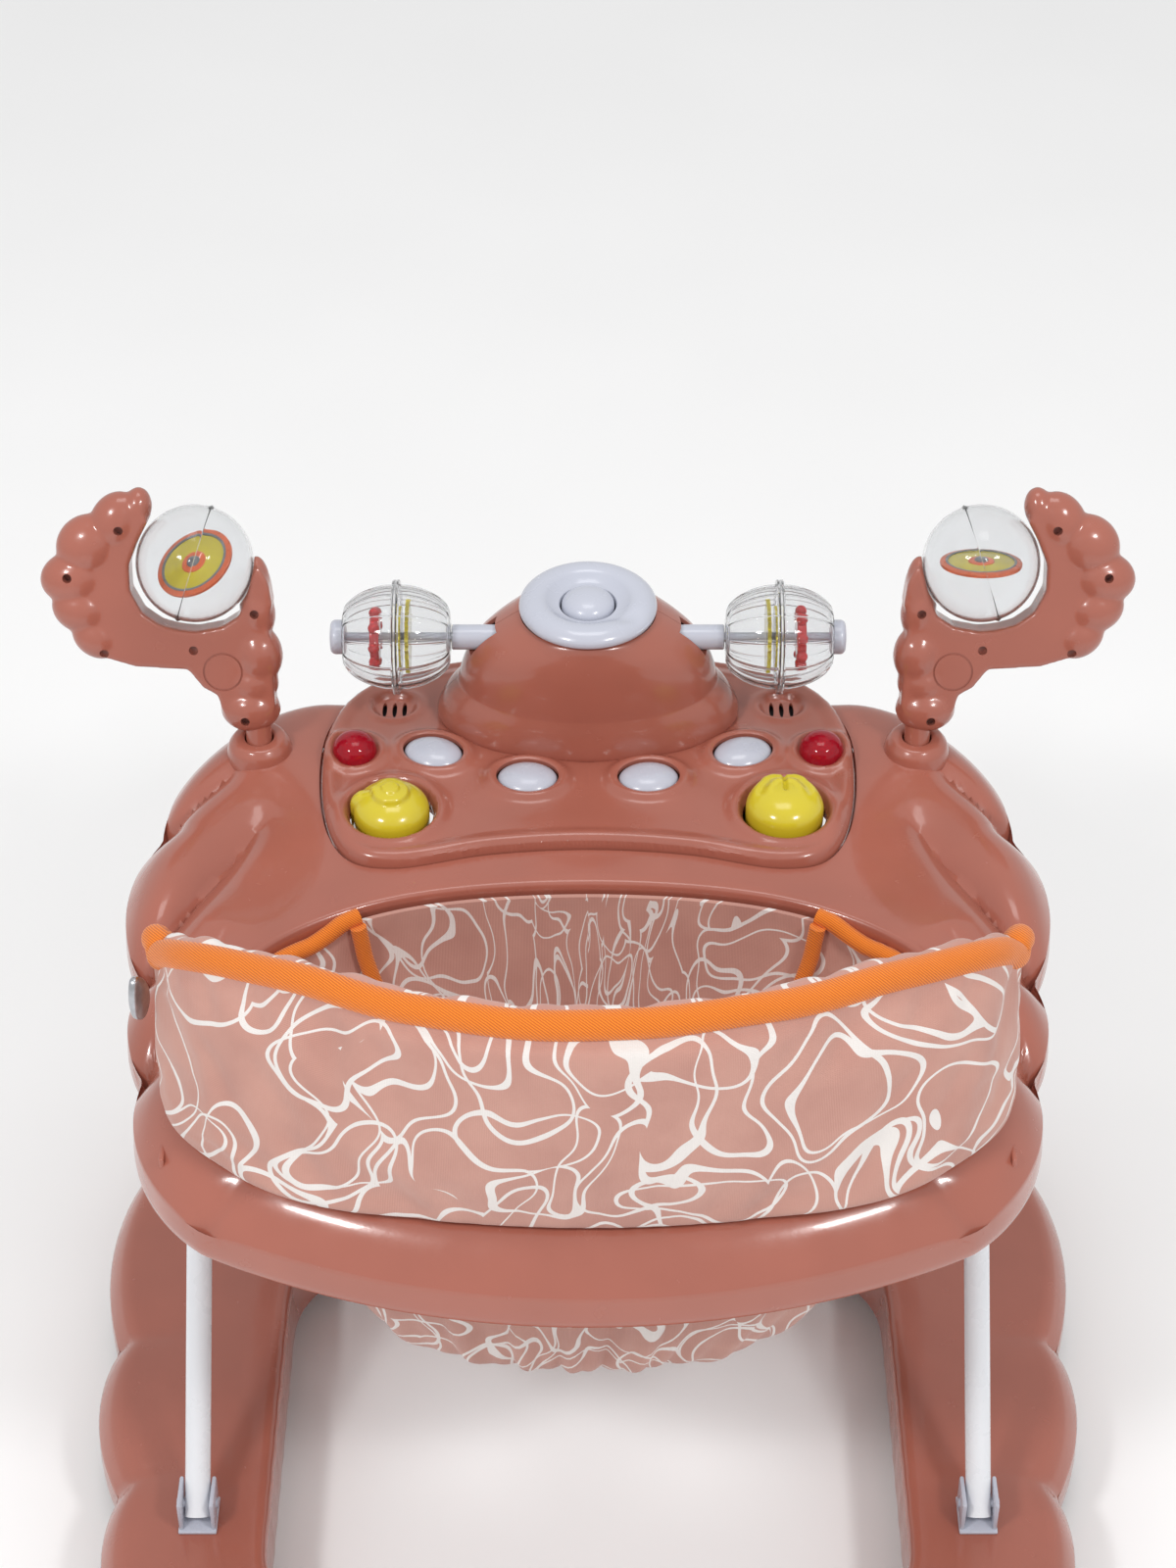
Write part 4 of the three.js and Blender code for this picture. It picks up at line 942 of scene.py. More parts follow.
def shaped_button(name, side):
    """The left one is a stepped dome with two small tabs, and the right one a dome with a groove."""

    def reach(a):
        if side < 0:
            return 23.6 + 2.4 * bump_at(a, 168, 11) + 2.0 * bump_at(a, 96, 20)
        return 24.2 + 1.8 * bump_at(a, 62, 14) + 1.8 * bump_at(a, 118, 14)

    def height(s, a):
        dome = 13 * (1 - s**2.4) ** 0.6 + 6
        if side < 0:
            step = 3.2 * swell((0.52 - s) / 0.08) + 1.6 * swell((0.26 - s) / 0.06)
            return dome - 3 + step + 1.2 * bump_at(a, 168, 11) * swell((s - 0.7) / 0.1)
        x, y = s * np.cos(a), s * np.sin(a)
        groove = 2.6 * np.exp(-((x / 0.05) ** 2)) * swell((y + 0.1) / 0.2)
        ridge = 0.9 * np.cos(5 * np.pi * s) * swell((s - 0.2) / 0.2) * swell((y + 0.2) / 0.3)
        return dome - groove + ridge

    piece = domed(name, reach, height, PANEL_TOP - 1 * MM, rings=40, count=120)
    return turn(piece, Matrix.Translation((side * SHAPED_PLACE[0] * MM, SHAPED_PLACE[1] * MM, 0)))


for side, word in ((-1, "left"), (1, "right")):
    for row, (place, angle) in WHITE_PLACES.items():
        piece = white_button(f"white_{row}_{word}_top", side, place, angle)
        dressed(piece, WHITE, "white_plastic", f"white_button_{row}_{word}", f"white_button_{row}_{word}")
    dressed(
        shaped_button(f"shaped_{word}_top", side), YELLOW, "yellow_plastic", f"shaped_button_{word}",
        f"shaped_button_{word}"
    )
    dome = turned(
        f"lamp_{word}_dome",
        [(14.4, -3), (14.2, 2), (13.4, 6), (11, 9.6), (7.5, 12), (3.6, 13.2), (0, 13.6)],
        at=(side * LAMP_PLACE[0] * MM, LAMP_PLACE[1] * MM, PANEL_TOP + 0.4 * MM),
        softness=3,
    )
    dressed(dome, LENS, "red_lens", "tray", "lamp_" + word)
    cone = turned(
        f"lamp_{word}_bulb",
        [(6, -2), (5.4, 4), (3.4, 7.6), (0, 9)],
        at=(side * LAMP_PLACE[0] * MM, LAMP_PLACE[1] * MM, PANEL_TOP + 0.4 * MM),
        sides=24,
    )
    dressed(cone, RED, "red_lens", "tray")
    # A black sheet just under the loudspeaker slots is painted shade: it darkens the slots, where only the
    # shaded hollow under the panel would show.
    cloth = prism(
        "speaker_shade_sheet", oval_outline((side * SPEAKER_PLACE[0], SPEAKER_PLACE[1]), (14, 12)),
        PANEL_LEVEL - 9, PANEL_LEVEL - 8
    )
    dressed(cloth, BLACK, "speaker_black", "tray")
print("buttons and lamps done")

# %% [markdown]
# ## The toy centre
# The bell-shaped dome is a stack of ovals that shrink upwards, with a soft crease where its skirt flares.
# It is moulded in a front and a rear shell, which meet at a fine line through the axle.

# %% Dome, dial and axle
DOME_LEVELS = [
    # height, half width, half depth in millimetres
    (0, 96.5, 52), (3, 97, 52.5), (10, 95.5, 52), (20, 90, 50.5), (27, 84, 49), (
        30, 82.5, 48.6
    ), (38, 80.5, 48.2),
    (48, 77, 47.6), (58, 71, 46.6), (67, 62, 45), (75, 51.5, 42.5), (79, 46, 40.6), (80.5, 43, 39),
]


def dome_half(name, direction):
    levels = spline_through(DOME_LEVELS, 60)

    def surface(u, v):
        angle = np.pi * u + 0.004 * (1 - 2 * u)
        step = v * (len(levels) - 1)
        height, wide, deep = (np.interp(step, np.arange(len(levels)), levels[:, i]) for i in range(3))
        x = wide * np.cos(angle)
        y = direction * deep * np.sin(angle)
        return x * MM, DOME_Y + y * MM, DOME_BASE + height * MM

    piece = formed(name, 96, 59, surface)
    weld(piece)
    apply(piece, "SOLIDIFY", thickness=2.6 * MM, offset=-1)
    for side in (-1, 1):
        notch = brick(
            "notch", (side * 78 - 22, DOME_Y / MM - 8.6, AXLE_Z / MM - 8.6),
            (side * 78 + 22, DOME_Y / MM + 8.6, AXLE_Z / MM + 10), 0
        )
        carve(piece, notch)
    return smooth(piece, 35)


dressed(dome_half("dome_rear_shell", -1), TERRACOTTA, "shell", "tray", "dome_rear")
dressed(dome_half("dome_front_shell", 1), TERRACOTTA, "shell", "tray", "dome_front")

dial = turned(
    "dial_saucer",
    [
        (17.4, -2), (17.6, 3.2), (20.5, 3.4), (24.5, 5.6), (28, 8.6), (33, 9.4), (38.5, 8), (42.6, 4.6),
        (43.6, 1.6), (42.8, -0.6), (40, -1.4), (17.4, -2)
    ],
    at=(0, DOME_Y, DOME_TOP + 1 * MM),
    sides=96,
    softness=4,
)
for vertex in dial.data.vertices:
    x, y = vertex.co.x / MM - 24, (vertex.co.y - DOME_Y) / MM + 20
    if vertex.co.z > DOME_TOP + 4 * MM:
        vertex.co.z -= 3.2 * MM * math.exp(-((x / 9) ** 2) - (y / 7) ** 2)
dressed(dial, WHITE, "white_plastic", "dial", "dial")
knob = turned(
    "dial_knob",
    [(16.8, -4), (16.8, 2.5), (15.6, 5.6), (12.5, 8.4), (8, 10.2), (4, 11), (0, 11.2)],
    at=(0, DOME_Y, DOME_TOP + 1 * MM),
    sides=64,
    softness=3.5,
)
dressed(knob, WHITE, "white_plastic", "dial_button", "dial_button")

ACROSS = Matrix.Rotation(math.radians(90), 4, "Y")
AXLE_AT = Vector((0, DOME_Y, AXLE_Z))
axle = turned(
    "axle_tube",
    [(0, -86), (8, -86), (8, 86), (0, 86)],
    at=AXLE_AT,
    matrix=ACROSS,
    sides=40,
    softness=1,
)
caps = []
for side in (-1, 1):
    caps.append(
        turned(
            "cap",
            [(0, 153.5), (10.4, 153.5), (11, 155), (11, 160.5), (9.4, 162.6), (3, 163.2), (0, 163.2)],
            at=AXLE_AT,
            matrix=Matrix.Rotation(side * math.radians(90), 4, "Y"),
            sides=40,
            softness=1.2,
        )
    )
    caps.append(
        rod(
            "thin_axle", 3, (side * 85, DOME_Y / MM, AXLE_Z / MM),
            (side * 156, DOME_Y / MM, AXLE_Z / MM)
        )
    )
dressed(joined("axle_tube", axle, *caps), WHITE, "white_plastic", "tray", "rattle_axle")
print("dome, dial and axle done")

# %% [markdown]
# ## The rattles
# Each rattle is two clear half shells with meridian ribs, screwed together at a flange. Inside turn a red
# disc of beads and a yellow toothed disc. The ribs come from adding a small wave to the shell's radius.

# %% Clear shells and their discs
RATTLE_X = 121
RIBS = 12


def rattle_shell(name, side, half):
    """half is 1 for the outer shell and -1 for the inner one; the shell's own axis is Z."""
    line = [
        (9, 34), (13, 34.2), (19, 32.5), (25, 26), (29.5, 17), (31.8, 8), (32.4, 2.2), (36, 2.1),
        (36.2, 0.2)
    ]
    line = spline_through([(r, h) for r, h in line], 44) * MM
    index = np.arange(len(line))

    def surface(u, v):
        step = v * (len(line) - 1)
        radius = np.interp(step, index, line[:, 0])
        height = np.interp(step, index, line[:, 1])
        angle = 2 * np.pi * u
        rib = np.clip(np.cos(RIBS * angle) * 4 - 2.8, 0, 1)
        radius = radius + 1.1 * MM * rib * swell((radius / MM - 14) / 8) * swell((34.5 - radius / MM) / 2)
        return radius * np.cos(angle), radius * np.sin(angle), height

    piece = weld(formed(name, 240, 43, surface))
    apply(piece, "SOLIDIFY", thickness=1.3 * MM, offset=-1)
    place = Matrix.Translation((side * RATTLE_X * MM, DOME_Y, AXLE_Z))
    turn(piece, place @ Matrix.Rotation(side * half * math.radians(90), 4, "Y"))
    return smooth(piece, 40)


def bead_disc(name, side):
    out = Matrix.Translation(
        (side * RATTLE_X * MM, DOME_Y, AXLE_Z)
    ) @ Matrix.Rotation(side * math.radians(90), 4, "Y")
    disc = turned(
        "disc", [(3.4, 10.6), (14.6, 10.6), (15, 13.5), (14.6, 16.4), (3.4, 16.4), (3.4, 10.6)],
        sides=40
    )
    pieces = [turn(disc, out)]
    for i in range(8):
        deselect()
        bpy.ops.mesh.primitive_uv_sphere_add(segments=20, ring_count=12, radius=3.7 * MM)
        bead = bpy.context.active_object
        angle = math.pi * (i + 0.25) / 4
        place = Matrix.Translation((16.5 * MM * math.cos(angle), 16.5 * MM * math.sin(angle), 13.5 * MM))
        pieces.append(smooth(turn(bead, out @ place)))
    return joined(name, *pieces)


def ratchet_disc(name, side):
    angle = np.linspace(0, 2 * np.pi, 96, endpoint=False)
    reach = 21.5 + 1.5 * np.cos(24 * angle)
    outline = np.stack([reach * np.cos(angle), reach * np.sin(angle)], axis=1)
    disc = prism(name, outline, -8.4, -6)
    web = prism("web", outline * 0.86, -3.2, -1.6)
    disc = joined(name, disc, web)
    carve(disc, rod("bore", 3.3, (0, 0, -12), (0, 0, 4)))
    turn(
        disc,
        Matrix.Translation(
            (side * RATTLE_X * MM, DOME_Y, AXLE_Z)
        ) @ Matrix.Rotation(side * math.radians(90), 4, "Y")
    )
    return smooth(disc, 30)


for side, word in ((-1, "left"), (1, "right")):
    body = "rattle_" + word
    dressed(
        rattle_shell(f"rattle_outer_{word}", side, 1), CLEAR, "clear_plastic", body,
        f"rattle_shell_outer_{word}"
    )
    dressed(
        rattle_shell(f"rattle_inner_{word}", side, -1), CLEAR, "clear_plastic", body,
        f"rattle_shell_inner_{word}"
    )
    dressed(bead_disc(f"beads_{word}", side), RED, "red_plastic", body, f"bead_disc_{word}")
    dressed(ratchet_disc(f"ratchet_{word}", side), YELLOW, "yellow_plastic", body, f"ratchet_disc_{word}")
print("rattles done")

# %% [markdown]
# ## The arms
# Each arm is a hand that cradles a clear ball. Its palm is a flat slab and its fingers are ovals. A voxel
# remesh melts them into one skin, smoothing softens the creases between the fingers, and a sphere cuts
# the cradle. The skin is then split into its front and rear mouldings, and the screw holes are drilled.

# %% Modelling the hand
ARM_LEAN = math.radians(-20)
BALL_AT = (36, 114)
BALL_RADIUS = 36.7
PALM = [
    (68, 152), (63, 143), (70, 130), (76, 115), (76, 98), (69, 84), (58, 76), (47, 73),
    (36, 72), (20, 75), (9, 82), (4, 94), (1, 107), (-4, 115), (-10, 104), (-12, 89), (-8, 76),
    (-12, 62), (-11, 40), (-12, 22), (-4, 10), (7, 8), (17, 12), (22, 21), (24, 30), (33, 35),
    (42, 47), (75, 49), (94, 55), (98, 66), (102, 84), (104, 110), (101, 126), (90, 140),
    (80, 150),
]
CRADLE_GAP = 1.0
KNUCKLES = [
    # outwards, up, half sizes across, along and in thickness, tilt
    (70, 150, 9, 13, 10, -8), (84, 141, 16, 20, 13, -28), (
        102, 126, 19, 21, 14.5, -48
    ), (112, 105, 17, 21, 14.5, -80),
    (
        108, 85, 16, 19, 14, -110
    ), (99, 67, 14, 17, 13, -125), (-2, 55, 15, 19, 14, 6), (4.5, 19, 19, 15, 14.5, 0),
    (2, 36, 16, 14, 12.5, 0), (-2, 84, 11, 18, 12, 10), (-4, 104, 6.5, 15, 8.5, 8),
]
SCREWS = [(81, 138), (114, 108), (94, 58), (38, 60), (-1, 84), (7, 14)]


def arm_frame(side):
    place = Matrix.Translation((side * POST.x * MM, POST.y * MM, POST.z * MM))
    return place @ Matrix.Rotation(ARM_LEAN, 4, "X") @ Matrix.Diagonal((side, 1, 1, 1))


STAND_UP = Matrix(((1, 0, 0, 0), (0, 0, 1, 0), (0, 1, 0, 0), (0, 0, 0, 1)))


def oval_block(at, sizes, tilt):
    deselect()
    bpy.ops.mesh.primitive_uv_sphere_add(segments=40, ring_count=24, radius=1)
    piece = bpy.context.active_object
    shape = Matrix.Diagonal([s * MM for s in sizes] + [1])
    place = Matrix.Translation((at[0] * MM, 0, at[1] * MM))
    return turn(piece, place @ Matrix.Rotation(math.radians(tilt), 4, "Y") @ shape)


def hand():
    palm = turn(prism("palm", np.array(PALM, dtype=float), -10, 10), STAND_UP)
    pieces = [oval_block((u, v), (a, t, b), tilt) for u, v, a, b, t, tilt in KNUCKLES]
    whole = joined("hand", palm, *pieces)
    apply(whole, "REMESH", mode="VOXEL", voxel_size=1.3 * MM)
    apply(whole, "SMOOTH", factor=0.6, iterations=9)
    return carve(whole, oval_block(BALL_AT, (BALL_RADIUS + CRADLE_GAP,) * 3, 0))


def drill(name, u, v, radius, near_y, far_y):
    return rod(name, radius, (u, near_y, v), (u, far_y, v), sides=28)


def ring_groove(u, v, outer, inner, depth_y):
    disc = drill("ring", u, v, outer, -20, depth_y)
    return carve(disc, drill("core", u, v, inner, -22, depth_y + 2))


whole_hand = hand()
rear = whole_hand
front = copied(rear, "front")
carve(rear, brick("half", (-60, 0.15, -20), (160, 40, 190), 0))
carve(front, brick("half", (-60, -40, -20), (160, -0.15, 190), 0))
screw_holes = [drill("screw", u, v, 2.9, -20, -5) for u, v in SCREWS]
screw_holes.append(ring_groove(20, 46, 12.6, 11.4, -9.2))
carve(rear, joined("screw_holes", *screw_holes))
post = rod("post", 8.2, (0, 0, -22), (0, 0, 10), sides=40)
rear = joined("rear", rear, post)
for piece in (rear, front):
    smooth(piece, 40)
print("hand halves", len(rear.data.polygons), len(front.data.polygons), "faces")

# %% Placing the hands, their balls and the discs inside
def clear_ball(name):
    line = [
        (
            37.9 * math.cos(a) if abs(a) < 0.02 else BALL_RADIUS * math.cos(a),
            BALL_RADIUS * math.sin(a)
        ) for a in np.linspace(-math.pi / 2, math.pi / 2, 61)
    ]
    line = np.array(line) * MM
    line[0, 0] = line[-1, 0] = 0
    index = np.arange(len(line))

    def surface(u, v):
        step = v * (len(line) - 1)
        radius = np.interp(step, index, line[:, 0])
        height = np.interp(step, index, line[:, 1])
        return radius * np.cos(2 * np.pi * u), radius * np.sin(2 * np.pi * u), height

    piece = weld(formed(name, 96, 60, surface))
    apply(piece, "SOLIDIFY", thickness=1.4 * MM, offset=-1)
    turn(piece, Matrix.Rotation(math.radians(72), 4, "Y"))
    return smooth(piece, 50)


def centred(side):
    return arm_frame(side) @ Matrix.Translation((BALL_AT[0] * MM, 0, BALL_AT[1] * MM))


DISC_TURNS = {
    "left": Matrix.Rotation(math.radians(-22), 4, "Y") @ Matrix.Rotation(math.radians(14), 4, "X"),
    "right": Matrix.Rotation(math.radians(-17), 4, "X"),
}


def disc_part(name, outline, where):
    return turn(turned(name, outline, sides=64, softness=0.4), where)


for side, word in ((-1, "left"), (1, "right")):
    arm, ball_body = "arm_" + word, "ball_" + word
    frame_of_arm = arm_frame(side)
    dressed(copied(rear, f"hand_rear_{word}", frame_of_arm), TERRACOTTA, "shell", arm, f"arm_rear_{word}")
    dressed(
        copied(front, f"hand_front_{word}", frame_of_arm), TERRACOTTA, "shell", arm, f"arm_front_{word}"
    )
    globe = turn(clear_ball(f"ball_shell_{word}"), centred(side))
    dressed(globe, CLEAR, "clear_plastic", ball_body, f"ball_{word}")
    where = Matrix.Translation(centred(side).translation) @ DISC_TURNS[word]
    face = disc_part(f"disc_face_{word}", [(0, -1.2), (21, -1.2), (21, 1.2), (0, 1.6)], where)
    dressed(face, YELLOW, "disc_face", ball_body, f"face_disc_{word}")
    rim = disc_part("disc_rim", [(22.2, -1.6), (25.6, -1), (25.6, 1), (22.2, 1.8), (22.2, -1.6)], where)
    dot = disc_part("disc_dot", [(0, 1), (8.4, 1), (8, 2), (0, 2.2)], where)
    orange = bpy.data.materials.get("orange_plastic")
    orange = orange or moulded("orange_plastic", srgb(222, 98, 40), roughness=0.3)
    dressed(joined(f"disc_rim_{word}", rim, dot), orange, "disc_face", ball_body)
    ring = disc_part(
        "disc_ring", [(20.6, -1.5), (22.3, -1.5), (22.3, 1.9), (20.6, 1.9), (20.6, -1.5)], where
    )
    boss = disc_part("disc_boss", [(0, 2), (4.6, 2), (3.4, 3.6), (0, 4.2)], where)
    dressed(joined(f"disc_ring_{word}", ring, boss), GREY, "disc_face", ball_body)
for piece in (rear, front):
    bpy.data.objects.remove(piece, do_unlink=True)
print("arms and balls done")

# %% [markdown]
# ## The seat
# The back rest is a thin pad that wraps the rear of the seat hole. It starts as a flat-sided loop swept
# along its path, and cloth simulation with air pressure inside fills it. Its lower edge is pinned where it
# is sewn into the tray and its upper edge where the binding holds it.

# %% The back rest pad
BACK_PATH = [
    (237, -92), (226, -150), (165, -197), (85, -215), (0, -221), (-85, -215), (-165, -197),
    (-226, -150), (-237, -92)
]
BACK_LINE = spline_through(BACK_PATH, 161)
BACK_LOW = TOP + 2


def back_top(share):
    return TOP + 84 + 70 * np.sin(np.pi * share) ** 0.8


TAUT_PATH = [
    (237, -92), (212, -128), (158, -166), (80, -206), (0, -219), (-80, -206), (-158, -166),
    (-212, -128), (-237, -92)
]
TAUT_LINE = spline_through(TAUT_PATH, 161)


def back_place(share, rise=1.0):
    """A point of the back rest's middle line: along the hole below, and straighter at the taut top."""
    at = share * (len(BACK_LINE) - 1)
    index = np.arange(len(BACK_LINE))
    low_x, low_y = np.interp(at, index, BACK_LINE[:, 0]), np.interp(at, index, BACK_LINE[:, 1])
    top_x, top_y = np.interp(at, index, TAUT_LINE[:, 0]), np.interp(at, index, TAUT_LINE[:, 1])
    x, y = low_x + (top_x - low_x) * rise, low_y + (top_y - low_y) * rise
    slope_x = np.interp(at, index, np.gradient(BACK_LINE[:, 0]))
    slope_y = np.interp(at, index, np.gradient(BACK_LINE[:, 1]))
    size = np.hypot(slope_x, slope_y)
    return x, y, -slope_y / size, slope_x / size


def back_pad():
    loop = 52

    def surface(u, v):
        turn_round = v * 4
        leg = np.clip(turn_round, 0, 4)
        across = np.where(
            leg <= 1, -1 + 2 * leg, np.where(leg <= 2, 1.0, np.where(leg <= 3, 5 - 2 * leg, -1.0))
        ) * 5.5
        rise = np.where(leg <= 1, 0.0, np.where(leg <= 2, leg - 1, np.where(leg <= 3, 1.0, 4 - leg)))
        x, y, out_x, out_y = back_place(u, rise)
        height = BACK_LOW + rise * (back_top(u) - 6 - BACK_LOW)
        return (x + out_x * across) * MM, (y + out_y * across) * MM, height * MM

    def spread(v):
        rows = np.array([0, 2, loop / 2, loop / 2 + 2, loop]) / loop
        return np.interp(v, rows, [0, 0.25, 0.5, 0.75, 1])

    piece = weld(formed("seat_back_pad", 112, loop, lambda u, v: surface(u, spread(v))))
    edit(
        piece,
        lambda: bpy.ops.mesh.select_all(action="DESELECT"),
        lambda: bpy.ops.mesh.select_non_manifold(),
        lambda: bpy.ops.mesh.fill_holes(sides=0),
        lambda: bpy.ops.mesh.select_all(action="SELECT"),
        lambda: bpy.ops.mesh.normals_make_consistent(inside=False),
    )
    return piece


def inflate(piece, pinned, pressure=3.0, frames=20):
    group = piece.vertex_groups.new(name="sewn")
    group.add(pinned, 1.0, "REPLACE")
    only(piece)
    modifier = piece.modifiers.new("cloth", "CLOTH")
    cloth = modifier.settings
    cloth.quality = 6
    cloth.mass = 0.25
    cloth.tension_stiffness = 18
    cloth.compression_stiffness = 12
    cloth.shear_stiffness = 6
    cloth.bending_stiffness = 0.6
    cloth.use_pressure = True
    cloth.uniform_pressure_force = pressure
    cloth.effector_weights.gravity = 0
    cloth.vertex_group_mass = group.name
    cloth.shrink_min = -0.035
    modifier.point_cache.frame_start = 1
    modifier.point_cache.frame_end = frames
    for frame_number in range(1, frames + 1):
        bpy.context.scene.frame_set(frame_number)
    bpy.ops.object.modifier_apply(modifier=modifier.name)
    bpy.context.scene.frame_set(1)
    return piece


pad = back_pad()
flat_pad = np.empty(len(pad.data.vertices) * 3)
pad.data.vertices.foreach_get("co", flat_pad)
flat_pad = flat_pad.reshape(-1, 3)
sewn = []
for vertex in pad.data.vertices:
    share = np.argmin(
        np.hypot(BACK_LINE[:, 0] * MM - vertex.co.x, BACK_LINE[:, 1] * MM - vertex.co.y)
    ) / (len(BACK_LINE) - 1)
    top = (back_top(share) - 6 - 7) * MM
    if vertex.co.z < (BACK_LOW + 5) * MM or vertex.co.z > top or share < 0.012 or share > 0.988:
        sewn.append(vertex.index)
inflate(pad, sewn)
moved = np.empty(len(pad.data.vertices) * 3)
pad.data.vertices.foreach_get("co", moved)
moved = moved.reshape(-1, 3)
step = moved - flat_pad
size = np.linalg.norm(step, axis=1, keepdims=True)
kept = flat_pad + step * np.minimum(1, 9 * MM / np.maximum(size, 1e-9))
pad.data.vertices.foreach_set("co", kept.reshape(-1))
pad.data.update()
apply(pad, "SUBSURF", levels=1, render_levels=1)
smooth(pad, 70)
dressed(pad, FABRIC, "seat_fabric", "tray", "seat_back")
print("back rest", [round(v, 3) for v in pad.dimensions])

# %% [markdown]
# The sling hangs in the hole like a bowl with two leg holes. Its front panel is taut between two upright
# bindings, and its sides sag a little from there to the back rest. Shallow folds run down the sides.

# %% The sling
SLING_LEVELS = [
    (409, 0.975, 0.97), (385, 0.95, 0.95), (330, 0.84, 0.88), (262, 0.70, 0.76), (226, 0.6, 0.66),
    (213, 0.45, 0.48), (211, 0.2, 0.22), (211, 0.01, 0.01)
]
SLING_CENTRE = (0, -76)
PANEL_EDGE = 138


def sling_top(x, y):
    """How far the sling's edge hangs below the lip."""
    side = swell((np.abs(x) - PANEL_EDGE - 4) / 30)
    rear = swell((-120 - y) / 60)
    return 9 * side * (1 - rear)


def sling_surface(u, v):
    angle = 2 * np.pi * (u - 0.5)
    reach = reach_of(HOLE, SLING_CENTRE, angle)
    hole_x, hole_y = reach * np.cos(angle), reach * np.sin(angle)
    levels = np.array(SLING_LEVELS, dtype=float)
    along = spline_through(levels, 120)
    at = v * (len(along) - 1)
    height = np.interp(at, np.arange(len(along)), along[:, 0])
    across = np.interp(at, np.arange(len(along)), along[:, 1])
    deep = np.interp(at, np.arange(len(along)), along[:, 2])
    x, y = SLING_CENTRE[0] + hole_x * across, SLING_CENTRE[1] + hole_y * deep
    sag = sling_top(hole_x, SLING_CENTRE[1] + hole_y) * swell((height - 300) / 100)
    height = height - sag
    taut = 1 - swell((np.abs(hole_x) - PANEL_EDGE) / 20) * (hole_y > -60) - (hole_y <= -60)
    folds = 2.4 * np.sin(17 * angle + 1.3 * np.sin(3 * angle)) + 1.4 * np.sin(41 * angle + v * 9)
    fold = folds * np.clip(1 - taut, 0, 1) * swell(v / 0.1) * swell((0.8 - v) / 0.3)
    size = np.maximum(np.hypot(x - SLING_CENTRE[0], y - SLING_CENTRE[1]), 1)
    x -= (x - SLING_CENTRE[0]) / size * (fold + 0.4)
    y -= (y - SLING_CENTRE[1]) / size * (fold + 0.4)
    return x * MM, y * MM, height * MM


sling = weld(formed("sling_bag", 300, 70, sling_surface))
apply(sling, "SOLIDIFY", thickness=3.2 * MM, offset=0)
LEG_HOLES = [prism("leg", oval_outline((side * 66, -20), (45, 45), count=64), 190, 258) for side in (-1, 1)]
carve(sling, joined("legs", *LEG_HOLES))
smooth(sling, 60)
dressed(sling, FABRIC, "seat_fabric", "tray", "seat_sling")
print("sling", len(sling.data.polygons), "faces")

# %% [markdown]
# Orange twill binds the raw edges: a plump roll along the top of the back rest that curls over at its
# ends, bands along the sagging sides and upright strips beside the front panel. Points for rings round the
# leg holes are worked out, but the rings are not built.

# %% Bindings and buckle
def wavy(points, size, pitch):
    """A hand-sewn line is never quite even: small slow waves across it."""
    points = np.array(points, dtype=float)
    along = np.concatenate([[0], np.cumsum(np.linalg.norm(np.diff(points, axis=0), axis=1))])
    points[:, 2] += size * np.sin(along / pitch) + 0.5 * size * np.sin(along / pitch * 2.7 + 1)
    points[:, 1] += 0.6 * size * np.sin(along / pitch * 1.6 + 2)
    return points


shares = np.linspace(0.0, 1.0, 140)
roll = []
for share in shares:
    x, y, out_x, out_y = back_place(share)
    roll.append((float(x), float(y), float(back_top(share)) - 5))
first = roll[0]
lead = [
    (first[0] + 5, first[1] + 26, first[2] - 14), (first[0] + 5, first[1] + 16, first[2] - 3),
    (first[0] + 2, first[1] + 7, first[2] + 1)
]
tail = [(-x, y, z) for x, y, z in lead[::-1]]
lining = [(x * 0.985, y + 8, z - 5) for x, y, z in roll[::4]]
crumple = piped("lining_roll", wavy(spline_through(lining, 260), 1.3, 9) * MM, 8 * MM, sides=8)
apply(crumple, "SUBSURF", levels=1, render_levels=1)
dressed(smooth(crumple, 70), FABRIC, "seat_fabric", "tray")
roll = spline_through(lead + roll[::6] + [roll[-1]] + tail, 220)
binding = piped("back_binding", wavy(roll, 0.9, 34) * MM, 8.2 * MM, sides=8)
seam = piped("binding_seam", (wavy(roll, 0.9, 34) - np.array([0, 0, 7.4])) * MM, 3.4 * MM, sides=5)
binding = joined("back_binding", binding, seam)
dressed(binding, BINDING, "seat_fabric", "tray")

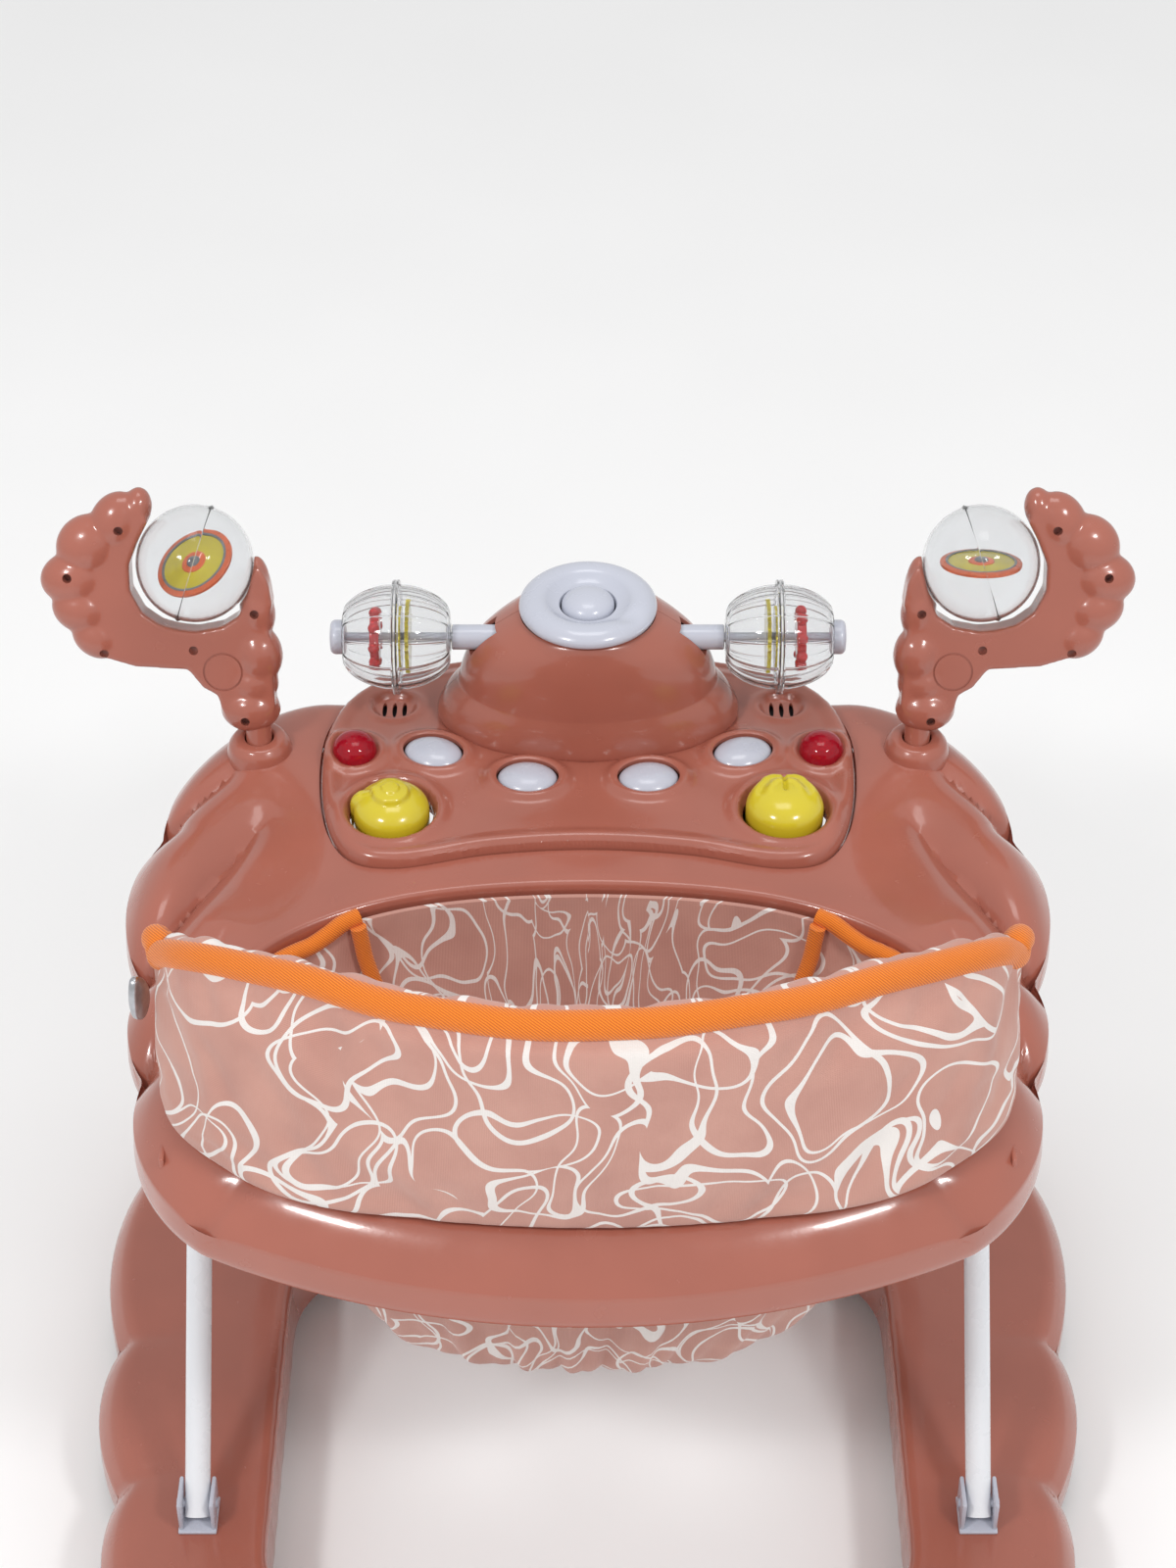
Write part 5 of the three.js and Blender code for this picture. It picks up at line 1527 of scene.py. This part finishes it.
edges = []
rim_angle = np.linspace(-np.pi, np.pi, 721)
rim_reach = reach_of(HOLE, SLING_CENTRE, rim_angle)
rim = np.stack(
    [SLING_CENTRE[0] + rim_reach * np.cos(rim_angle), SLING_CENTRE[1] + rim_reach * np.sin(rim_angle)],
    axis=1
)
rear_rim = [(x * 0.985, SLING_CENTRE[1] + (y - SLING_CENTRE[1]) * 0.985, 417) for x, y in rim if y < -98]
rear_rim.sort(key=lambda p: p[0])
seam = piped("rear_seam", spline_through(rear_rim[::4], 160) * MM, 6.5 * MM, sides=6)
dressed(smooth(seam, 70), FABRIC, "seat_fabric", "tray")
for side in (-1, 1):
    band = [(x, y) for x, y in rim if side * x > PANEL_EDGE + 2 and y > -112]
    band.sort(key=lambda p: -p[1])
    line = []
    for x, y in band[::6]:
        sag = float(sling_top(np.array(x), np.array(y)))
        inward = 1 - 4.5 / math.hypot(x, y - SLING_CENTRE[1])
        line.append((x * inward, SLING_CENTRE[1] + (y - SLING_CENTRE[1]) * inward, 411 - sag))
    x, y, z = line[-1]
    line += [(side * 226, -104, 424), (side * 232, -98, 452), (side * 236, -90, 480)]
    band = piped("side_band", spline_through(wavy(line, 1.2, 22), 120) * MM, 5.4 * MM, sides=6)
    upright = []
    for z in np.linspace(409, 262, 14):
        level = np.array(SLING_LEVELS)
        across = np.interp(z, level[::-1, 0], level[::-1, 1])
        deep = np.interp(z, level[::-1, 0], level[::-1, 2])
        front_x = PANEL_EDGE * across / 0.975
        y = -76 + (34 + 76) * deep - 8
        upright.append((side * front_x, y, z))
    strip = piped("upright", spline_through(wavy(upright, 0.8, 25), 60) * MM, 5.0 * MM, sides=6)
    circle = np.linspace(0, 2 * np.pi, 65)[:-1]
    loop = [(side * 66 + 46 * math.cos(a), -20 + 46 * math.sin(a)) for a in circle]
    ring = []
    for x, y in loop:
        out = math.hypot(x / 1.0, (y + 76) / 0.98)
        ring.append(
            (x, y, float(np.interp(out / 190, [0, 0.45, 0.62, 0.7, 0.85], [213, 215, 232, 254, 300])))
        )
    edges += [band, strip]
edges = joined("edge_bindings", *edges)
dressed(edges, BINDING, "seat_fabric", "tray")

leaf = []
for t in np.linspace(0, 2 * np.pi, 40, endpoint=False):
    leaf.append((9.5 * math.cos(t) * (1 - 0.25 * math.sin(t)), 17 * math.sin(t)))
buckle = turn(prism("buckle", np.array(leaf), -2.4, 2.4), Matrix.Rotation(math.radians(90), 4, "X"))
apply(buckle, "BEVEL", width=1.6 * MM, segments=3)
turn(
    buckle,
    Matrix.Translation((-0.251, -0.100, 0.470)) @ Matrix.Rotation(math.radians(75), 4, "Z") @ Matrix.Rotation(
        math.radians(-14), 4, "Y"
    )
)
smooth(buckle, 40)
dressed(buckle, STEEL, "buckle_grey", "tray", "seat_buckle")
print("bindings done")

# %% [markdown]
# ## The rolling base
# The base is a second lobed moulding, formed like the tray: a sheet from its opening to its outline,
# rolled down into a skirt that hides the casters, and given a wall.

# %% Base ring
LOWER_PIVOT, UPPER_PIVOT = 80, 373
BASE = BASE_TOP / MM
RIM = BASE_RIM / MM
BASE_OUTLINE = cloud(
    ((180, 300), 45),
    [((308, 165), 38), ((313, 0), 16), ((300, -120), 13), ((225, -285), 34)],
    60,
)
BASE_CREASES = [
    ((180, 300), (150, 240), 6, 12),
    ((308, 165), (255, 140), 6, 12),
    ((313, 0), (262, 0), 5, 12),
    ((300, -120), (255, -110), 5, 12),
    ((225, -285), (190, -240), 6, 12),
]


def rounded_box(x, front, rear, corner, count=24):
    points = []
    for cx, cy, start in (
        (x - corner, front - corner, 0), (corner - x, front - corner, 90),
        (corner - x, rear + corner, 180), (x - corner, rear + corner, 270)
    ):
        for angle in np.radians(np.linspace(start, start + 90, count)):
            points.append((cx + corner * math.cos(angle), cy + corner * math.sin(angle)))
    dense = []
    for (ax, ay), (bx, by) in zip(points, points[1:] + points[:1]):
        dense += [(ax + (bx - ax) * t, ay + (by - ay) * t) for t in np.linspace(0, 1, 8, endpoint=False)]
    return np.array(dense)


BASE_OPENING = rounded_box(200, 95, -230, 60)
BASE_CENTRE = (0, -60)


def base_sheet(u, v, stations=52):
    angle = 2 * np.pi * (u - 0.5)
    inner = reach_of(BASE_OPENING, BASE_CENTRE, angle)
    outer = reach_of(BASE_OUTLINE, BASE_CENTRE, angle)
    step = np.rint(v * (stations - 1)).astype(int)
    edge = [(0, RIM - BASE), (-0.3, -40), (0, -10), (1, -4), (3, -1), (6, 0)]
    skirt = [(0.2, -22), (0.7, -32), (0.4, -42), (0, RIM - BASE)]
    deck = stations - len(edge) - len(skirt)
    share = 1 - (1 - np.clip((step - len(edge) + 1) / deck, 0, 1)) ** 1.3
    radius = inner + 6 + share * (outer - inner - 6)
    x = BASE_CENTRE[0] + radius * np.cos(angle)
    y = BASE_CENTRE[1] + radius * np.sin(angle)
    height = -18 * np.clip(1 - (outer - radius) / 20, 0, 1) ** 2.2
    for valley, end, depth, width in BASE_CREASES:
        height -= creased(np.abs(x), y, valley, end, depth, width)
    for i, (out, drop) in enumerate(edge):
        radius = np.where(step == i, inner + out, radius)
        height = np.where(step == i, drop, height)
    for i, (out, drop) in enumerate(skirt):
        at = stations - len(skirt) + i
        radius = np.where(step == at, outer + out, radius)
        height = np.where(step == at, drop, height)
    x = BASE_CENTRE[0] + radius * np.cos(angle)
    y = BASE_CENTRE[1] + radius * np.sin(angle)
    return x * MM, y * MM, BASE_TOP + height * MM


base = weld(formed("base_moulding", 360, 51, base_sheet))
apply(base, "SOLIDIFY", thickness=2.8 * MM, offset=-1)
extras = []
for side in (-1, 1):
    extras.append(slotted_plate("base_plate", side, LOWER_PIVOT, BASE - 3, 94.6))
HUB_Z = 22
SOCKET_Z = 52
SOCKET_DEPTH = BASE - SOCKET_Z - 0.5
CASTERS = {"front": (170, 215), "middle": (257, 0), "rear": (120, -281)}
for x, y in CASTERS.values():
    for side in (-1, 1):
        socket = turned(
            "socket", [(5.6, 0), (10, 0), (10, SOCKET_DEPTH), (5.6, SOCKET_DEPTH), (5.6, 0)],
            at=(side * x * MM, y * MM, SOCKET_Z * MM), sides=28, softness=0.4
        )
        extras.append(socket)
smooth(base, 40)
base = joined("base_moulding", base, *extras)
dressed(base, TERRACOTTA, "shell", "base", "base_ring")
print("base", len(base.data.polygons), "faces")

# %% [markdown]
# ## Casters, frame tubes and brackets
# A caster is a fork that trails its wheel, so it turns to follow the walker. Each wheel is turned from a
# profile: a hub, a web and a rounded tread. The tubes are swept along their bends as one smooth line.

# %% Casters
# radius and place along the axle: hub, web, rim and tread, and back
WHEEL_PROFILE = [
    (2.8, -6.6), (7, -6.6), (7.6, -3), (15, -2.6), (16, -6.6), (19.6, -7), (22, -4.6),
    (22, 4.6), (19.6, 7), (16, 6.6), (15, 2.6), (7.6, 3), (7, 6.6), (2.8, 6.6), (2.8, -6.6),
]
for row, (x, y) in CASTERS.items():
    for side, word in ((-1, "left"), (1, "right")):
        name = f"{row}_{word}"
        low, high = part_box("caster_fork_" + name)
        wheel_low, wheel_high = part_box("caster_wheel_" + name)
        middle_x = side * x
        middle_y = (wheel_low[1] + wheel_high[1]) / 2 / MM
        crown = brick("crown", (middle_x - 10.4, low[1] / MM, 46), (middle_x + 10.4, high[1] / MM, 51), 1.4)
        cheeks = [
            brick(
                "cheek", (middle_x + c, middle_y - 5, 18), (middle_x + c + 2.5, middle_y + 6, 49), 0.9
            ) for c in (-10.5, 8)
        ]
        stem = rod("stem", 4.8, (middle_x, y, 50), (middle_x, y, high[2] / MM - 0.4))
        pin = rod("pin", 2.4, (middle_x - 10, middle_y, HUB_Z), (middle_x + 10, middle_y, HUB_Z))
        dressed(
            joined("fork_" + name, crown, *cheeks, stem, pin), WHITE, "white_plastic", f"caster_{name}",
            f"caster_fork_{name}"
        )
        wheel = turned(
            "wheel_" + name, WHEEL_PROFILE, at=(middle_x * MM, middle_y * MM, HUB_Z * MM), matrix=ACROSS,
            sides=56, softness=1
        )
        dressed(wheel, TREAD, "wheel_tread", f"wheel_{name}", f"caster_wheel_{name}")
print("casters done")

# %% Frame tubes, brackets and the small fixed parts
TUBE_BEND = 90
TUBE_RADIUS = 8
LEG = 400
OUTER_X, INNER_X = 244, 226
PIVOT_Y = -150


def frame_tube(name, half, pivot_z, lean):
    points = [(-half, -TUBE_RADIUS, 0), (-half, LEG - TUBE_BEND, 0)]
    bend = [((1 - t) ** 2, 2 * t * (1 - t), t * t) for t in np.linspace(0, 1, 14)[1:]]
    points += [
        (-half * (a + b) - (half - TUBE_BEND) * c, (LEG - TUBE_BEND) * a + LEG * (b + c), 0) for a, b,
        c in bend
    ]
    points += [(-x, y, z) for x, y, z in points[::-1]]
    turn_up = Matrix.Translation((0, PIVOT_Y * MM, pivot_z * MM)) @ Matrix.Rotation(lean, 4, "X")
    placed = [turn_up @ Vector((x * MM, y * MM, z * MM)) for x, y, z in points]
    return piped(name, placed, TUBE_RADIUS * MM, sides=8)


LEAN = math.asin((UPPER_PIVOT - LOWER_PIVOT) / LEG)
dressed(
    frame_tube("outer_tube", OUTER_X, LOWER_PIVOT, LEAN), TUBE, "painted_tube", "outer_leg",
    "outer_frame_tube"
)
dressed(
    frame_tube("inner_tube", INNER_X, UPPER_PIVOT, -LEAN), TUBE, "painted_tube", "inner_leg",
    "inner_frame_tube"
)
for side, word in ((-1, "left"), (1, "right")):
    low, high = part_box("frame_bracket_" + word)
    ends = (low[0] / MM, high[0] / MM)
    ears = [
        brick(
            "ear", (e, -162, BASE + 0.2), (e + 3, -138, 92), 1.6
        ) for e in (ends[0] + 0.4, ends[1] - 3.4)
    ]
    foot = brick("foot", (ends[0], -164, BASE + 0.2), (ends[1], -136, BASE + 2.4), 0.8)
    pin = rod("pin", 2.9, (ends[0] - 1, -150, 80), (ends[1] + 1, -150, 80))
    dressed(
        joined("bracket_" + word, *ears, foot, pin), WHITE, "white_plastic", "base",
        "frame_bracket_" + word
    )

NODES = frame["nodes"]
for material, names in (
    (TERRACOTTA, ["battery_door"]),
    (BOARD, ["circuit_board"]),
    (BLACK, ["speaker"]),
    (WHITE, ["height_lever"]),
    (STEEL, ["scissor_pin_left", "scissor_pin_right"]),
    (RUBBER, ["brake_pad_front", "brake_pad_rear"]),
):
    for name in names:
        piece = NODES[name]
        piece.data.materials.clear()
        piece.data.materials.append(material)
print("frame done")

# %% [markdown]
# ## Sizes
# The last step writes the size of the CAD model and of the finished look, so that both can be compared.

# %% Sizes of the frame and of the finished model
def seen_box():
    low, high = Vector((9, 9, 9)), Vector((-9, -9, -9))
    for piece in bpy.context.scene.objects:
        if piece.type != "MESH" or piece.hide_render or piece.name == "floor":
            continue
        flat = np.empty(len(piece.data.vertices) * 3)
        piece.data.vertices.foreach_get("co", flat)
        placed = flat.reshape(-1, 3) @ np.array(piece.matrix_world.to_3x3()).T + np.array(
            piece.matrix_world.translation
        )
        low = Vector(np.minimum(low, placed.min(axis=0)))
        high = Vector(np.maximum(high, placed.max(axis=0)))
    return [[float(v) for v in low], [float(v) for v in high]]


sizes = {"CAD box": [[float(v) for v in corner] for corner in CAD_BOX], "visual box": seen_box()}
print(sizes)
